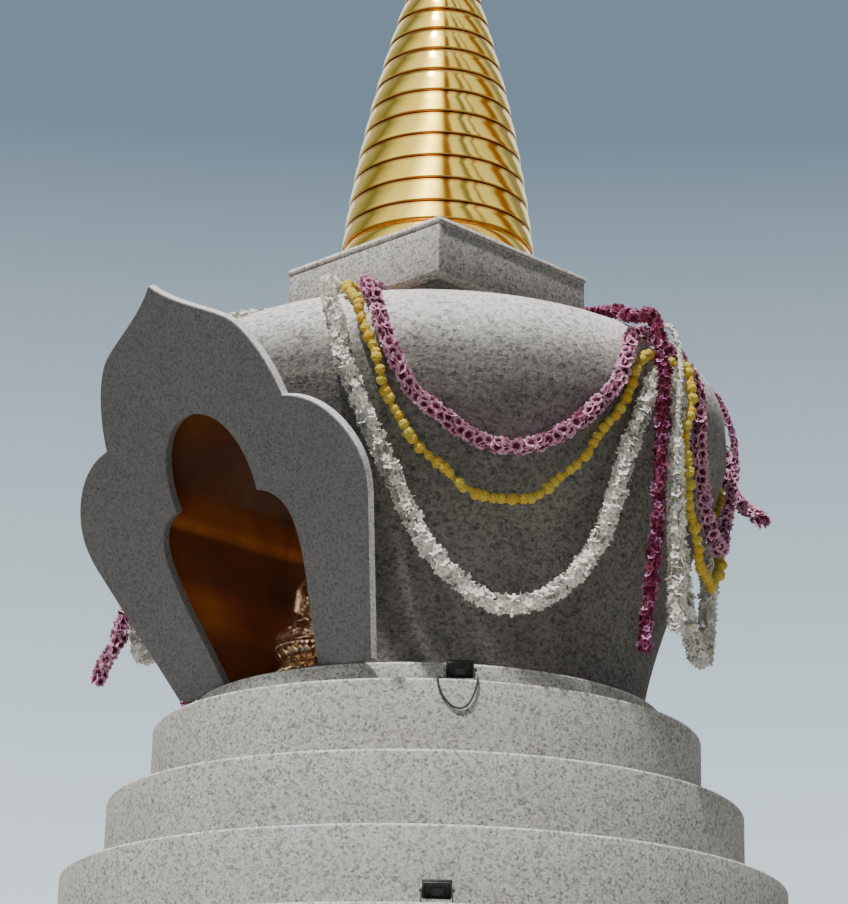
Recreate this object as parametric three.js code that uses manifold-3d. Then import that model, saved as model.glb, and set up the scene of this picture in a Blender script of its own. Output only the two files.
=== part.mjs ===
// Granite stupa with a multifoil niche slab on its dome and a gilded ring spire.
// Units are millimetres. The ground is z = 0, the niche looks along -Y, and +Z is up.

import * as THREE from 'three'
import { mergeVertices } from 'three/addons/utils/BufferGeometryUtils.js'
import ManifoldModule from 'manifold-3d'

const manifoldTools = await ManifoldModule()
manifoldTools.setup()
const { Manifold, Mesh: ManifoldMesh } = manifoldTools

// Joint left between two pieces that touch
const joint = 0.3

// Square steps and throne
const groundStepWidths = [4700, 4240]
const groundStepRise = 220
const footCourseWidths = [3840, 3600]
const footCourseRise = 160
const throneWidth = 3340
const throneHeight = 1800
const panelMargin = 330
const panelDepth = 45
const corniceWidths = [3520, 3720]
const corniceRise = 130
const corniceSlabWidth = 3960
const corniceSlabRise = 200

// Round steps
const roundStepTop = 4307
const roundStepRise = 322
const roundStepTread = 178
const topStepRadius = 1170
const roundSegments = 64

// Ring and dome
const domeRingRadius = 1008
const domeRingRise = 105
const domeFootRadius = 921
const domeBellyRadius = 1292
const domeBellyHeight = 1145
const domeShoulderRise = 539
const domeSegments = 48

// Niche slab, leaning outward from its foot
const slabLean = THREE.MathUtils.degToRad(27.1)
const slabFootOut = 912
const slabThickness = 38
const slabFootHalf = 577
const slabPeak = 1682
const slabCuspHalf = 540
const slabCuspHeight = 1092
const openingFootHalf = 265
const openingCuspHalf = 243
const openingCuspHeight = 761
const openingTop = 1130

// Niche cabinet behind the slab
const cabinetFootHalf = 400
const cabinetHalf = 500
const cabinetSpring = 640
const cabinetBack = 420
const cabinetWall = 85
const cabinetBackWall = 50
const cabinetFloor = 30
const glassThickness = 8

// Statue on a lotus base
const statueBack = 672
const lotusRadius = 185
const lotusHeight = 150
const figureHeight = 520

// Harmika, the square block on the dome
const harmikaWidth = 946
const harmikaRise = 222
const coverWidth = 960
const coverRise = 30
const neckWidths = [640, 812]
const neckRises = [96, 32]

// Spire
const lipRise = 90
const lipRadius = 438
const ringCount = 13
const firstRingRise = 92
const ringPitch = 116.5
const spireRadius = 433
const spireTaper = 157
const spireBulge = 171
const ringGroove = 7
const ringEdge = 9
const spireSegments = 28

// Finial
const parasolRadius = 300
const parasolRise = 240
const parasolRim = 120
const moonRadius = 190
const moonHollow = 174
const moonLift = 58
const moonThickness = 46
const sunRadius = 92
const jewelRadius = 58
const jewelRise = 250

// Lamps on the near diagonal
const lampAzimuth = THREE.MathUtils.degToRad(45)
const lampSize = [110, 36, 74]
const lampTilt = THREE.MathUtils.degToRad(38)
const lampBarWidth = 150
const lampBarThickness = 5
const lampEarWidth = 20
const lampEarRise = 62
const upperLampPlace = [115, 1092]
const lowerLampPlace = [35, 1640]

// Garlands and lamp cable: thicknesses, steps along each tube and route points
const whiteThickness = 92
const yellowThickness = 58
const pinkThickness = 68
const maroonThickness = 72
const whiteTailThickness = 84
const cableThickness = 8
const garlandSteps = 56
const tailSteps = 22
const cableSteps = 36

// Garland routes: azimuth from the niche in degrees, distance from the axis, height.
// The white one on the left hangs a little higher in front.
const whiteRoute = [
  [8, 378, 6142], [15.5, 865, 6090], [20.8, 1130, 6001], [23.3, 1238, 5926], [25.2, 1296, 5848],
  [27, 1329, 5760], [28, 1345, 5620], [30, 1332, 5490], [32, 1307, 5370], [37, 1258, 5120],
  [43, 1230, 4850], [50, 1220, 4680], [56, 1220, 4610], [63, 1220, 4620], [70, 1225, 4710],
  [76, 1232, 4860], [79.6, 1250, 5040], [81.4, 1278, 5230], [83.4, 1308, 5400], [85.4, 1341, 5550],
  [86.8, 1344, 5628], [89.4, 1344, 5662], [92.2, 1344, 5622], [94, 1342, 5540], [95, 1312, 5400],
  [97.4, 1266, 5150], [102, 1234, 4850], [108, 1208, 4690], [117, 1190, 4622], [127, 1188, 4705],
  [137, 1215, 4930], [149, 1300, 5350], [152, 1335, 5500], [155, 1344, 5680], [158, 1301, 5852],
  [161, 1133, 6008], [164, 865, 6094], [167, 380, 6142],
]
const whiteLeftRoute = [
  [8, 378, 6142], [15.5, 865, 6090], [20.8, 1130, 6001], [23.3, 1238, 5926], [25.2, 1296, 5848],
  [27, 1329, 5760], [28, 1345, 5620], [30, 1332, 5490], [32, 1307, 5370], [37, 1256, 5125],
  [43, 1233, 4910], [46.5, 1248, 4852], [50, 1278, 4804], [56, 1296, 4755], [63, 1318, 4770],
  [70, 1308, 4855], [76, 1284, 4975], [79.6, 1264, 5090], [81.4, 1280, 5245], [83.4, 1308, 5400],
  [85.4, 1341, 5550], [86.8, 1344, 5628], [89.4, 1344, 5662], [92.2, 1344, 5622], [94, 1342, 5540],
  [95, 1312, 5400], [97.4, 1266, 5150], [102, 1234, 4850], [108, 1208, 4690], [117, 1190, 4622],
  [127, 1188, 4705], [137, 1215, 4930], [149, 1300, 5350], [152, 1335, 5500], [155, 1344, 5680],
  [158, 1301, 5852], [161, 1133, 6008], [164, 865, 6094], [167, 380, 6142],
]
const yellowRoute = [
  [20, 402, 6122], [20.5, 700, 6098], [22.8, 980, 6041], [26.9, 1190, 5946], [29.6, 1272, 5857],
  [32, 1320, 5730], [35, 1317, 5525], [37, 1282, 5390], [40, 1252, 5285], [45, 1225, 5175],
  [51, 1200, 5080], [58, 1195, 5040], [65, 1205, 5080], [71, 1230, 5190], [76, 1262, 5330],
  [80, 1309, 5490], [82, 1326, 5575], [83, 1326, 5650], [85.2, 1316, 5735], [88, 1312, 5756],
  [90.4, 1317, 5746], [91.9, 1340, 5731], [92.5, 1382, 5710], [92.4, 1416, 5676], [92.1, 1428, 5625],
  [91.9, 1430, 5550], [90.9, 1422, 5372], [91.8, 1408, 5252], [93.8, 1387, 5140], [96.8, 1356, 5036],
  [101.6, 1320, 4942], [107, 1290, 4896], [113.1, 1270, 4904], [117.6, 1268, 4968], [138.5, 1283, 5205],
  [143, 1308, 5380], [146, 1319, 5510], [148.5, 1327, 5700], [150.3, 1274, 5858], [152, 1187, 5946],
  [154, 980, 6042], [155, 700, 6098], [155, 405, 6122],
]
const pinkRoute = [
  [30, 420, 6127], [26.5, 700, 6102], [27.3, 980, 6047], [31.7, 1227, 5924], [33.5, 1284, 5842],
  [35.2, 1326, 5730], [38, 1332, 5560], [41, 1303, 5440], [46, 1288, 5352], [51, 1267, 5280],
  [57, 1262, 5245], [64, 1265, 5275], [70, 1282, 5360], [75, 1312, 5470], [78.6, 1332, 5585],
  [81, 1326, 5735], [83.2, 1303, 5815], [86, 1296, 5835], [89.5, 1301, 5822], [94, 1318, 5780],
  [98, 1329, 5720], [100.4, 1334, 5640], [101, 1328, 5530], [104.5, 1293, 5400], [109.5, 1266, 5240],
  [114.5, 1262, 5150], [121, 1263, 5122], [127, 1266, 5165], [131.5, 1284, 5300], [134, 1318, 5460],
  [135, 1339, 5600], [134.5, 1325, 5745], [132.8, 1259, 5889], [131, 1130, 5986], [130, 980, 6046],
  [129, 800, 6086], [129, 620, 6110], [128, 444, 6125],
]
const maroonTailRoute = [
  [98, 376, 6131], [98.5, 490, 6123], [97.5, 620, 6113], [95, 800, 6089], [92, 980, 6049],
  [89, 1110, 5999], [87.3, 1190, 5953], [86.2, 1258, 5919], [85.8, 1325, 5913], [85.7, 1372, 5867],
  [85.7, 1394, 5790], [85.6, 1405, 5710], [85.3, 1427, 5600], [84.8, 1425, 5440], [84.8, 1418, 5280],
  [84.6, 1412, 5120], [84.3, 1406, 4960], [83.5, 1400, 4800], [82.9, 1394, 4650], [82.3, 1390, 4540],
  [82.2, 1388, 4450],
]
const whiteTailRoute = [
  [110, 395, 6136], [109, 490, 6131], [107, 620, 6121], [103.5, 800, 6098], [99.5, 980, 6056],
  [96.5, 1090, 6015], [94, 1170, 5973], [92, 1240, 5925], [90.8, 1308, 5900], [90, 1371, 5866],
  [89.7, 1404, 5800], [89.3, 1425, 5720], [88.6, 1441, 5600], [88, 1437, 5440], [87.9, 1431, 5280],
  [87.9, 1426, 5120], [88.3, 1421, 4960], [88.5, 1416, 4800], [88.6, 1411, 4670], [88.8, 1408, 4560],
]
const pinkTailFrontRoute = [
  [56, 446, 6130], [51, 535, 6122], [46, 660, 6109], [43.5, 800, 6086], [42.5, 980, 6046],
  [42, 1130, 5986], [42, 1242, 5906], [42.2, 1308, 5800], [42.4, 1333, 5700], [43, 1345, 5600],
  [43, 1354, 5500], [44, 1365, 5400], [44, 1361, 5280], [44, 1350, 5140], [44, 1334, 5000],
  [44, 1320, 4880], [44.2, 1335, 4775], [44.8, 1352, 4705], [45.6, 1393, 4652], [46.4, 1414, 4602],
  [47, 1430, 4545],
]
const pinkTailBackRoute = [
  [143, 442, 6127], [144.5, 700, 6102], [146, 980, 6047], [146.5, 1204, 5942], [145.5, 1309, 5800],
  [144.2, 1339, 5690], [143.5, 1345, 5600], [143, 1352, 5550], [142.6, 1366, 5510], [141.5, 1390, 5468],
  [139.5, 1416, 5425], [137, 1442, 5380], [135, 1462, 5340],
]
// Cable route: aside, outward and upward from the foot of the upper lamp
const cableRoute = [
  [-40, 5, 22], [-45, 20, 11], [-58, 38, 6], [-76, 60, 5], [-88, 78, 5],
  [-89, 84.5, -6], [-84, 84, -32], [-72, 82.5, -62], [-52, 82, -92], [-26, 80.5, -114],
  [4, 79, -120], [30, 77.5, -106], [48, 76.5, -78], [60, 75, -45], [67, 74, -12],
  [68, 67, 5], [68, 50, 5.5], [68, 30, 7], [68, 15, 10], [68, -14, 10],
  [68, -32, 6.5], [67, -60, 5.5], [66, -82, 6], [66, -99, 8],
]

// Heights that follow from the courses
const throneTop = 2 * (groundStepRise + footCourseRise + corniceRise) + throneHeight + corniceSlabRise
const lowestStepTop = roundStepTop - 3 * roundStepRise
const domeFoot = roundStepTop + domeRingRise
const domeTop = domeFoot + domeBellyHeight + domeShoulderRise
const harmikaFoot = domeTop + neckRises[0] + neckRises[1]
const coverFoot = harmikaFoot + harmikaRise
const spireFoot = coverFoot + coverRise + lipRise
const spireTop = spireFoot + firstRingRise + (ringCount - 1) * ringPitch

const materials = {
  granite: new THREE.MeshStandardMaterial({ color: 0xb9b8b4, roughness: 0.85 }),
  roughGranite: new THREE.MeshStandardMaterial({ color: 0x8d8c89, roughness: 0.95 }),
  slabGranite: new THREE.MeshStandardMaterial({ color: 0x7d7d7c, roughness: 0.7 }),
  gold: new THREE.MeshStandardMaterial({ color: 0xe0a83c, roughness: 0.16, metalness: 1 }),
  statueGold: new THREE.MeshStandardMaterial({ color: 0xc08a3a, roughness: 0.3, metalness: 1 }),
  glass: new THREE.MeshStandardMaterial({ color: 0x8a4a18, roughness: 0.05, transparent: true, opacity: 0.35 }),
  lampBlack: new THREE.MeshStandardMaterial({ color: 0x17181a, roughness: 0.5 }),
  cableBlack: new THREE.MeshStandardMaterial({ color: 0x101010, roughness: 0.7 }),
  whiteFlowers: new THREE.MeshStandardMaterial({ color: 0xe9e6dc, roughness: 0.9 }),
  yellowFlowers: new THREE.MeshStandardMaterial({ color: 0xe2b21c, roughness: 0.9 }),
  pinkFlowers: new THREE.MeshStandardMaterial({ color: 0xc58aa6, roughness: 0.9 }),
  maroonFlowers: new THREE.MeshStandardMaterial({ color: 0x7c2245, roughness: 0.9 }),
}

const group = new THREE.Group()

function addPiece(name, geometry, material, place = [0, 0, 0]) {
  const mesh = new THREE.Mesh(geometry, material)
  mesh.name = name
  mesh.position.set(...place)
  group.add(mesh)
  return mesh
}

// Closed solid for cutting and joining, from any closed geometry
function toSolid(geometry) {
  const bare = new THREE.BufferGeometry()
  bare.setAttribute('position', geometry.getAttribute('position').clone())
  if (geometry.index) bare.setIndex(geometry.index.clone())
  const welded = mergeVertices(bare, 0.001)
  const corners = welded.index.array
  const kept = []
  for (let i = 0; i < corners.length; i += 3) {
    const [a, b, c] = [corners[i], corners[i + 1], corners[i + 2]]
    if (a !== b && b !== c && c !== a) kept.push(a, b, c)
  }
  return new Manifold(new ManifoldMesh({
    numProp: 3,
    vertProperties: new Float32Array(welded.getAttribute('position').array),
    triVerts: new Uint32Array(kept),
  }))
}

function toGeometry(solid) {
  const mesh = solid.getMesh()
  const geometry = new THREE.BufferGeometry()
  geometry.setAttribute('position', new THREE.BufferAttribute(new Float32Array(mesh.vertProperties), 3))
  geometry.setIndex(new THREE.BufferAttribute(new Uint32Array(mesh.triVerts), 1))
  const flat = geometry.toNonIndexed()
  flat.computeVertexNormals()
  return flat
}

// Box with its base at z = 0
function block(width, depth, height) {
  return new THREE.BoxGeometry(width, depth, height).translate(0, 0, height / 2)
}

// Solid turned about +Z from [radius, height] points that start and end on the axis
function turned(points, segments) {
  const profile = points.map(([radius, height]) => new THREE.Vector2(radius, height))
  return new THREE.LatheGeometry(profile, segments).rotateX(Math.PI / 2)
}

function ellipsoid(radii, centre) {
  return new THREE.SphereGeometry(1, 12, 8).scale(...radii).translate(...centre)
}

// Square courses, laid one on another from the ground
function addCourses() {
  let height = 0
  const lay = (name, width, rise) => {
    addPiece(name, block(width, width, rise - joint), materials.granite, [0, 0, height])
    height += rise
  }
  lay('ground_step_lower', groundStepWidths[0], groundStepRise)
  lay('ground_step_upper', groundStepWidths[1], groundStepRise)
  lay('throne_foot_lower', footCourseWidths[0], footCourseRise)
  lay('throne_foot_upper', footCourseWidths[1], footCourseRise)
  addPiece('throne_body', throneBody(), materials.granite, [0, 0, height])
  height += throneHeight
  lay('cornice_lower', corniceWidths[0], corniceRise)
  lay('cornice_upper', corniceWidths[1], corniceRise)
  lay('cornice_slab', corniceSlabWidth, corniceSlabRise)
}

// Throne block with a sunk panel in each side
function throneBody() {
  let solid = toSolid(block(throneWidth, throneWidth, throneHeight - joint))
  const panelWidth = throneWidth - 2 * panelMargin
  const panelHeight = throneHeight - 1.4 * panelMargin
  for (let side = 0; side < 4; side += 1) {
    const cut = new THREE.BoxGeometry(panelWidth, 2 * panelDepth, panelHeight)
    cut.translate(0, -throneWidth / 2, throneHeight / 2).rotateZ(side * Math.PI / 2)
    solid = solid.subtract(toSolid(cut))
  }
  return toGeometry(solid)
}

function addRoundSteps() {
  const names = ['round_step_upper', 'round_step_middle', 'round_step_lower', 'round_step_lowest']
  names.forEach((name, index) => {
    const radius = topStepRadius + index * roundStepTread
    const top = roundStepTop - index * roundStepRise
    const foot = Math.max(top - roundStepRise, throneTop)
    const rise = top - foot - joint
    addPiece(name, turned([[0, 0], [radius, 0], [radius, rise], [0, rise]], roundSegments),
      materials.granite, [0, 0, foot])
  })
  const ringRise = domeRingRise - joint
  const ring = turned([[0, 0], [domeRingRadius, 0], [domeRingRadius, ringRise], [0, ringRise]], roundSegments)
  addPiece('dome_ring', ring, materials.granite, [0, 0, roundStepTop])
}

// Dome outline: a flaring flank, then a rounded square shoulder
function domeProfile() {
  const flank = new THREE.CubicBezierCurve(
    new THREE.Vector2(domeFootRadius, 0),
    new THREE.Vector2(960, 388),
    new THREE.Vector2(1275, 988),
    new THREE.Vector2(domeBellyRadius, domeBellyHeight),
  )
  const points = flank.getPoints(8).map((point) => [point.x, point.y])
  const shoulderSteps = 10
  for (let step = 1; step < shoulderSteps; step += 1) {
    const angle = (step / shoulderSteps) * Math.PI / 2
    points.push([
      domeBellyRadius * Math.cos(angle) ** 0.76,
      domeBellyHeight + domeShoulderRise * Math.sin(angle) ** 0.55,
    ])
  }
  return [[0, 0], ...points, [0, domeBellyHeight + domeShoulderRise]]
}

// Arched outline of the niche cabinet, drawn in x and height
function cabinetOutline(footHalf, half, floor) {
  const shape = new THREE.Shape()
  shape.moveTo(-footHalf, floor)
  shape.lineTo(footHalf, floor)
  shape.lineTo(half, cabinetSpring - 60)
  shape.lineTo(half, cabinetSpring)
  shape.absarc(0, cabinetSpring, half, 0, Math.PI, false)
  shape.lineTo(-half, cabinetSpring - 60)
  shape.closePath()
  return shape
}

// Outline pushed forward from a depth behind the axis plane to well past the slab
function cabinetBlock(outline, back) {
  const geometry = new THREE.ExtrudeGeometry(outline, { depth: 2000, bevelEnabled: false, curveSegments: 20 })
  return toSolid(geometry.rotateX(Math.PI / 2).translate(0, -back, domeFoot))
}

// Turn and place a shape drawn in the slab's own plane, front face at local z = 0
function leanOut(geometry) {
  return geometry.rotateX(Math.PI / 2 + slabLean).translate(0, -slabFootOut, domeFoot)
}

// All space in front of the face that lies a depth behind the slab's front
function inFrontOf(depth) {
  const space = new THREE.BoxGeometry(5000, 7000, 2000).translate(0, 0, 1000 - depth)
  return toSolid(leanOut(space))
}

function addDome() {
  const whole = toSolid(turned(domeProfile(), domeSegments).translate(0, 0, domeFoot))
  const pocketOutline = cabinetOutline(cabinetFootHalf + joint, cabinetHalf + joint, -50)
  const pocket = cabinetBlock(pocketOutline, cabinetBack - joint)
  const dome = whole.subtract(pocket)
  addPiece('dome', toGeometry(dome), materials.roughGranite)
}

// Multifoil outline of the slab with its two-lobed opening
function slabOutline() {
  const shape = new THREE.Shape()
  shape.moveTo(openingFootHalf, -40)
  shape.lineTo(slabFootHalf - 18, -40)
  shape.lineTo(815, 605)
  shape.quadraticCurveTo(852, 695, 846, 770)
  shape.bezierCurveTo(838, 880, 745, 1055, slabCuspHalf, slabCuspHeight)
  shape.bezierCurveTo(525, 1230, 450, 1420, 345, 1472)
  shape.bezierCurveTo(240, 1535, 90, 1590, 0, slabPeak)
  shape.bezierCurveTo(-90, 1590, -240, 1535, -345, 1472)
  shape.bezierCurveTo(-450, 1420, -525, 1230, -slabCuspHalf, slabCuspHeight)
  shape.bezierCurveTo(-745, 1055, -838, 880, -846, 770)
  shape.quadraticCurveTo(-852, 695, -815, 605)
  shape.lineTo(-slabFootHalf + 18, -40)
  shape.lineTo(-openingFootHalf, -40)
  shape.lineTo(-345, 300)
  shape.quadraticCurveTo(-394, 480, -389, 590)
  shape.bezierCurveTo(-385, 690, -325, 745, -openingCuspHalf, openingCuspHeight)
  shape.bezierCurveTo(-265, 940, -175, openingTop, 0, openingTop)
  shape.bezierCurveTo(175, openingTop, 265, 940, openingCuspHalf, openingCuspHeight)
  shape.bezierCurveTo(325, 745, 385, 690, 389, 590)
  shape.quadraticCurveTo(394, 480, 345, 300)
  shape.closePath()
  return shape
}

function addNiche() {
  const plateOptions = { depth: slabThickness, bevelEnabled: false, curveSegments: 9 }
  const plate = new THREE.ExtrudeGeometry(slabOutline(), plateOptions)
  const leaning = toSolid(leanOut(plate.translate(0, 0, -slabThickness)))
  const belowFoot = toSolid(new THREE.BoxGeometry(4000, 4000, 400).translate(0, 0, domeFoot - 200))
  addPiece('niche_slab', toGeometry(leaning.subtract(belowFoot)), materials.slabGranite)

  const outer = cabinetBlock(cabinetOutline(cabinetFootHalf, cabinetHalf, 0), cabinetBack)
  const innerHalf = cabinetHalf - cabinetWall
  const innerFootHalf = cabinetFootHalf - cabinetWall
  const innerOutline = cabinetOutline(innerFootHalf, innerHalf, cabinetFloor)
  const room = cabinetBlock(innerOutline, cabinetBack + cabinetBackWall)
  const cabinet = outer.subtract(room).subtract(inFrontOf(slabThickness + joint))
  addPiece('niche_cabinet', toGeometry(cabinet), materials.slabGranite)

  const glassOutline = cabinetOutline(innerFootHalf - joint, innerHalf - joint, cabinetFloor + joint)
  const glassFront = slabThickness + joint
  const pane = cabinetBlock(glassOutline, cabinetBack + cabinetBackWall)
    .subtract(inFrontOf(glassFront))
    .intersect(inFrontOf(glassFront + glassThickness))
  addPiece('niche_glass', toGeometry(pane), materials.glass)
}

// Lotus base and a plain seated figure
function addStatue() {
  const floor = domeFoot + cabinetFloor + joint
  const petals = [
    [0, 0], [lotusRadius - 8, 0], [lotusRadius, 22], [lotusRadius - 30, 62], [lotusRadius - 48, 75],
    [lotusRadius - 30, 88], [lotusRadius - 6, 126], [lotusRadius - 18, lotusHeight], [0, lotusHeight],
  ]
  addPiece('statue_lotus_base', turned(petals, 24), materials.statueGold, [0, -statueBack, floor])

  const parts = [
    ellipsoid([172, 96, 52], [0, -22, 46]),
    ellipsoid([62, 62, 46], [-118, -50, 48]),
    ellipsoid([62, 62, 46], [118, -50, 48]),
    ellipsoid([104, 74, 72], [0, -8, 96]),
    ellipsoid([92, 66, 130], [0, 22, 158]),
    ellipsoid([106, 58, 66], [0, 24, 262]),
    ellipsoid([32, 36, 92], [-118, 8, 196]),
    ellipsoid([32, 36, 92], [118, 8, 196]),
    ellipsoid([70, 30, 26], [-58, -50, 104]),
    ellipsoid([70, 30, 26], [58, -50, 104]),
    ellipsoid([34, 34, 44], [0, 20, 330]),
    ellipsoid([54, 58, 70], [0, 16, 402]),
    ellipsoid([30, 30, 50], [0, 18, figureHeight - 50]),
  ]
  const figure = parts.map(toSolid).reduce((joined, part) => joined.add(part))
  const foot = toSolid(new THREE.BoxGeometry(600, 600, 100).translate(0, 0, -50))
  addPiece('statue_figure', toGeometry(figure.subtract(foot)), materials.statueGold,
    [0, -statueBack, floor + lotusHeight + joint])
}

function addHarmika() {
  addPiece('harmika_neck_lower', block(neckWidths[0], neckWidths[0], neckRises[0] - joint),
    materials.granite, [0, 0, domeTop])
  addPiece('harmika_neck_upper', block(neckWidths[1], neckWidths[1], neckRises[1] - joint),
    materials.granite, [0, 0, domeTop + neckRises[0]])
  addPiece('harmika_block', block(harmikaWidth, harmikaWidth, harmikaRise - joint),
    materials.granite, [0, 0, harmikaFoot])
  addPiece('harmika_cover_slab', block(coverWidth, coverWidth, coverRise - joint),
    materials.granite, [0, 0, coverFoot])
}

// Spire radius at a height above its foot
function radiusAt(height) {
  const share = height / (spireTop - spireFoot)
  return spireRadius - spireTaper * share - spireBulge * share ** 2
}

function addSpire() {
  const lip = [
    [0, 0], [lipRadius - 6, 0], [lipRadius + 4, 14], [lipRadius, 48],
    [lipRadius - 10, lipRise - joint], [0, lipRise - joint],
  ]
  addPiece('spire_lip', turned(lip, spireSegments), materials.gold, [0, 0, coverFoot + coverRise])
  let height = 0
  for (let ring = 1; ring <= ringCount; ring += 1) {
    const rise = ring === 1 ? firstRingRise : ringPitch
    const foot = radiusAt(height)
    const head = radiusAt(height + rise)
    const top = rise - joint
    const profile = [[0, 0], [foot - ringGroove, 0], [foot, ringEdge], [head, top - ringEdge],
      [head - ringGroove, top], [0, top]]
    const name = `spire_ring_${String(ring).padStart(2, '0')}`
    addPiece(name, turned(profile, spireSegments), materials.gold, [0, 0, spireFoot + height])
    height += rise
  }
}

function addFinial() {
  const stem = radiusAt(spireTop - spireFoot) - 25
  const parasol = [
    [0, 0], [stem, 0], [stem, parasolRim], [parasolRadius - 22, parasolRim], [parasolRadius - 22, 24],
    [parasolRadius, 24], [parasolRadius, parasolRim + 12], [parasolRadius * 0.72, parasolRim + 62],
    [parasolRadius * 0.3, parasolRise - 24], [60, parasolRise - joint], [0, parasolRise - joint],
  ]
  addPiece('parasol', turned(parasol, 28), materials.gold, [0, 0, spireTop])

  const moonFoot = spireTop + parasolRise
  const disc = (radius, lift, thickness) => toSolid(
    new THREE.CylinderGeometry(radius, radius, thickness, 48).translate(0, 0, moonRadius + lift))
  const hollow = disc(moonHollow, moonLift, 2 * moonThickness)
  const crescent = disc(moonRadius, 0, moonThickness).subtract(hollow)
  const socket = new THREE.CylinderGeometry(34, 44, 34, 24).rotateX(Math.PI / 2).translate(0, 0, 17)
  addPiece('crescent_moon', toGeometry(crescent.add(toSolid(socket))), materials.gold, [0, 0, moonFoot])

  const cradle = moonRadius + moonLift - moonHollow
  const sun = new THREE.SphereGeometry(sunRadius, 20, 12).rotateX(Math.PI / 2).scale(1, 0.55, 1)
  const sunFoot = moonFoot + cradle + joint
  addPiece('sun_disc', sun, materials.gold, [0, 0, sunFoot + sunRadius])

  const jewel = [
    [0, 0], [jewelRadius * 0.45, 0], [jewelRadius * 0.5, 16], [jewelRadius, 84],
    [jewelRadius * 0.62, 150], [jewelRadius * 0.2, 215], [0, jewelRise],
  ]
  addPiece('jewel', turned(jewel, 16), materials.gold, [0, 0, sunFoot + 2 * sunRadius + joint])
}

// Small floodlight: a strip bracket with two ears, and the case between them
function addLamp(name, place, ledge) {
  const lamp = new THREE.Group()
  lamp.rotation.z = lampAzimuth
  const [aside, out] = place
  lamp.position.set(
    out * Math.sin(lampAzimuth) + aside * Math.cos(lampAzimuth),
    -out * Math.cos(lampAzimuth) + aside * Math.sin(lampAzimuth),
    ledge,
  )
  const [width, depth, height] = lampSize
  const bar = toSolid(block(lampBarWidth, 30, lampBarThickness))
  const earX = width / 2 + joint + lampBarThickness / 2
  const ears = [-1, 1].map((side) => toSolid(block(lampBarThickness, lampEarWidth, lampEarRise)
    .translate(side * earX, 0, 0)))
  const strip = ears.reduce((joined, ear) => joined.add(ear), bar)
  const bracket = new THREE.Mesh(toGeometry(strip), materials.lampBlack)
  bracket.name = `${name}_bracket`
  lamp.add(bracket)

  const body = new THREE.Mesh(new THREE.BoxGeometry(width, depth, height), materials.lampBlack)
  body.name = `${name}_case`
  body.position.z = lampEarRise - lampEarWidth / 2
  body.rotation.x = lampTilt
  lamp.add(body)
  group.add(lamp)
}

// Round tube along a smooth curve through the points
function tube(points, thickness, steps) {
  const sides = 8
  const section = new THREE.Shape()
  for (let side = 0; side < sides; side += 1) {
    const angle = (side / sides) * 2 * Math.PI
    const corner = [Math.cos(angle) * thickness / 2, Math.sin(angle) * thickness / 2]
    if (side === 0) section.moveTo(...corner)
    else section.lineTo(...corner)
  }
  section.closePath()
  const path = new THREE.CatmullRomCurve3(points)
  return new THREE.ExtrudeGeometry(section, { steps, extrudePath: path, bevelEnabled: false })
}

// Points of a garland's route; side 1 hangs to the right of the niche and -1 to its left
function routePoints(route, side) {
  return route.map(([azimuth, radius, height]) => {
    const angle = side * THREE.MathUtils.degToRad(azimuth)
    return new THREE.Vector3(radius * Math.sin(angle), -radius * Math.cos(angle), height)
  })
}

// Point on the face of the harmika's neck straight behind a point in front of that face
function seatOnNeck(point) {
  const face = neckWidths[0] / 2 + joint
  const seat = point.clone()
  if (Math.abs(point.x) > Math.abs(point.y)) seat.x = face * Math.sign(point.x)
  else seat.y = face * Math.sign(point.y)
  return seat
}

// Garland that is tied to the neck at both ends
function addGarland(name, route, side, thickness, material) {
  const points = routePoints(route, side)
  const tied = [seatOnNeck(points[0]), ...points, seatOnNeck(points.at(-1))]
  addPiece(name, tube(tied, thickness, garlandSteps), material)
}

// Garland that is tied to the neck at one end and hangs free at the other
function addTail(name, route, side, thickness, material) {
  const points = routePoints(route, side)
  addPiece(name, tube([seatOnNeck(points[0]), ...points], thickness, tailSteps), material)
}

function addGarlands() {
  for (const [label, side] of [['right', 1], ['left', -1]]) {
    const white = side > 0 ? whiteRoute : whiteLeftRoute
    addGarland(`garland_white_${label}`, white, side, whiteThickness, materials.whiteFlowers)
    addGarland(`garland_yellow_${label}`, yellowRoute, side, yellowThickness, materials.yellowFlowers)
    addGarland(`garland_pink_${label}`, pinkRoute, side, pinkThickness, materials.pinkFlowers)
    addTail(`tail_maroon_${label}`, maroonTailRoute, side, maroonThickness, materials.maroonFlowers)
    addTail(`tail_white_${label}`, whiteTailRoute, side, whiteTailThickness, materials.whiteFlowers)
  }
  addTail('tail_pink_front_left', pinkTailFrontRoute, -1, pinkThickness, materials.pinkFlowers)
  addTail('tail_pink_back_right', pinkTailBackRoute, 1, pinkThickness, materials.pinkFlowers)
}

// Cable that leaves the upper lamp, loops over the edge of the step and runs to the ring
function addLampCable() {
  const [aside, out] = upperLampPlace
  const points = cableRoute.map(([across, outward, up]) => {
    const a = aside + across
    const o = out + outward
    return new THREE.Vector3(
      o * Math.sin(lampAzimuth) + a * Math.cos(lampAzimuth),
      -o * Math.cos(lampAzimuth) + a * Math.sin(lampAzimuth),
      roundStepTop + joint + up,
    )
  })
  addPiece('upper_lamp_cable', tube(points, cableThickness, cableSteps), materials.cableBlack)
}

addCourses()
addRoundSteps()
addDome()
addNiche()
addStatue()
addHarmika()
addSpire()
addFinial()
addLamp('upper_lamp', upperLampPlace, roundStepTop + joint)
addLamp('lower_lamp', lowerLampPlace, lowestStepTop + joint)
addLampCable()
addGarlands()

export default group
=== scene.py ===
import math
import bmesh
import bpy
import numpy as np
from mathutils import Matrix, Vector, kdtree


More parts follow.
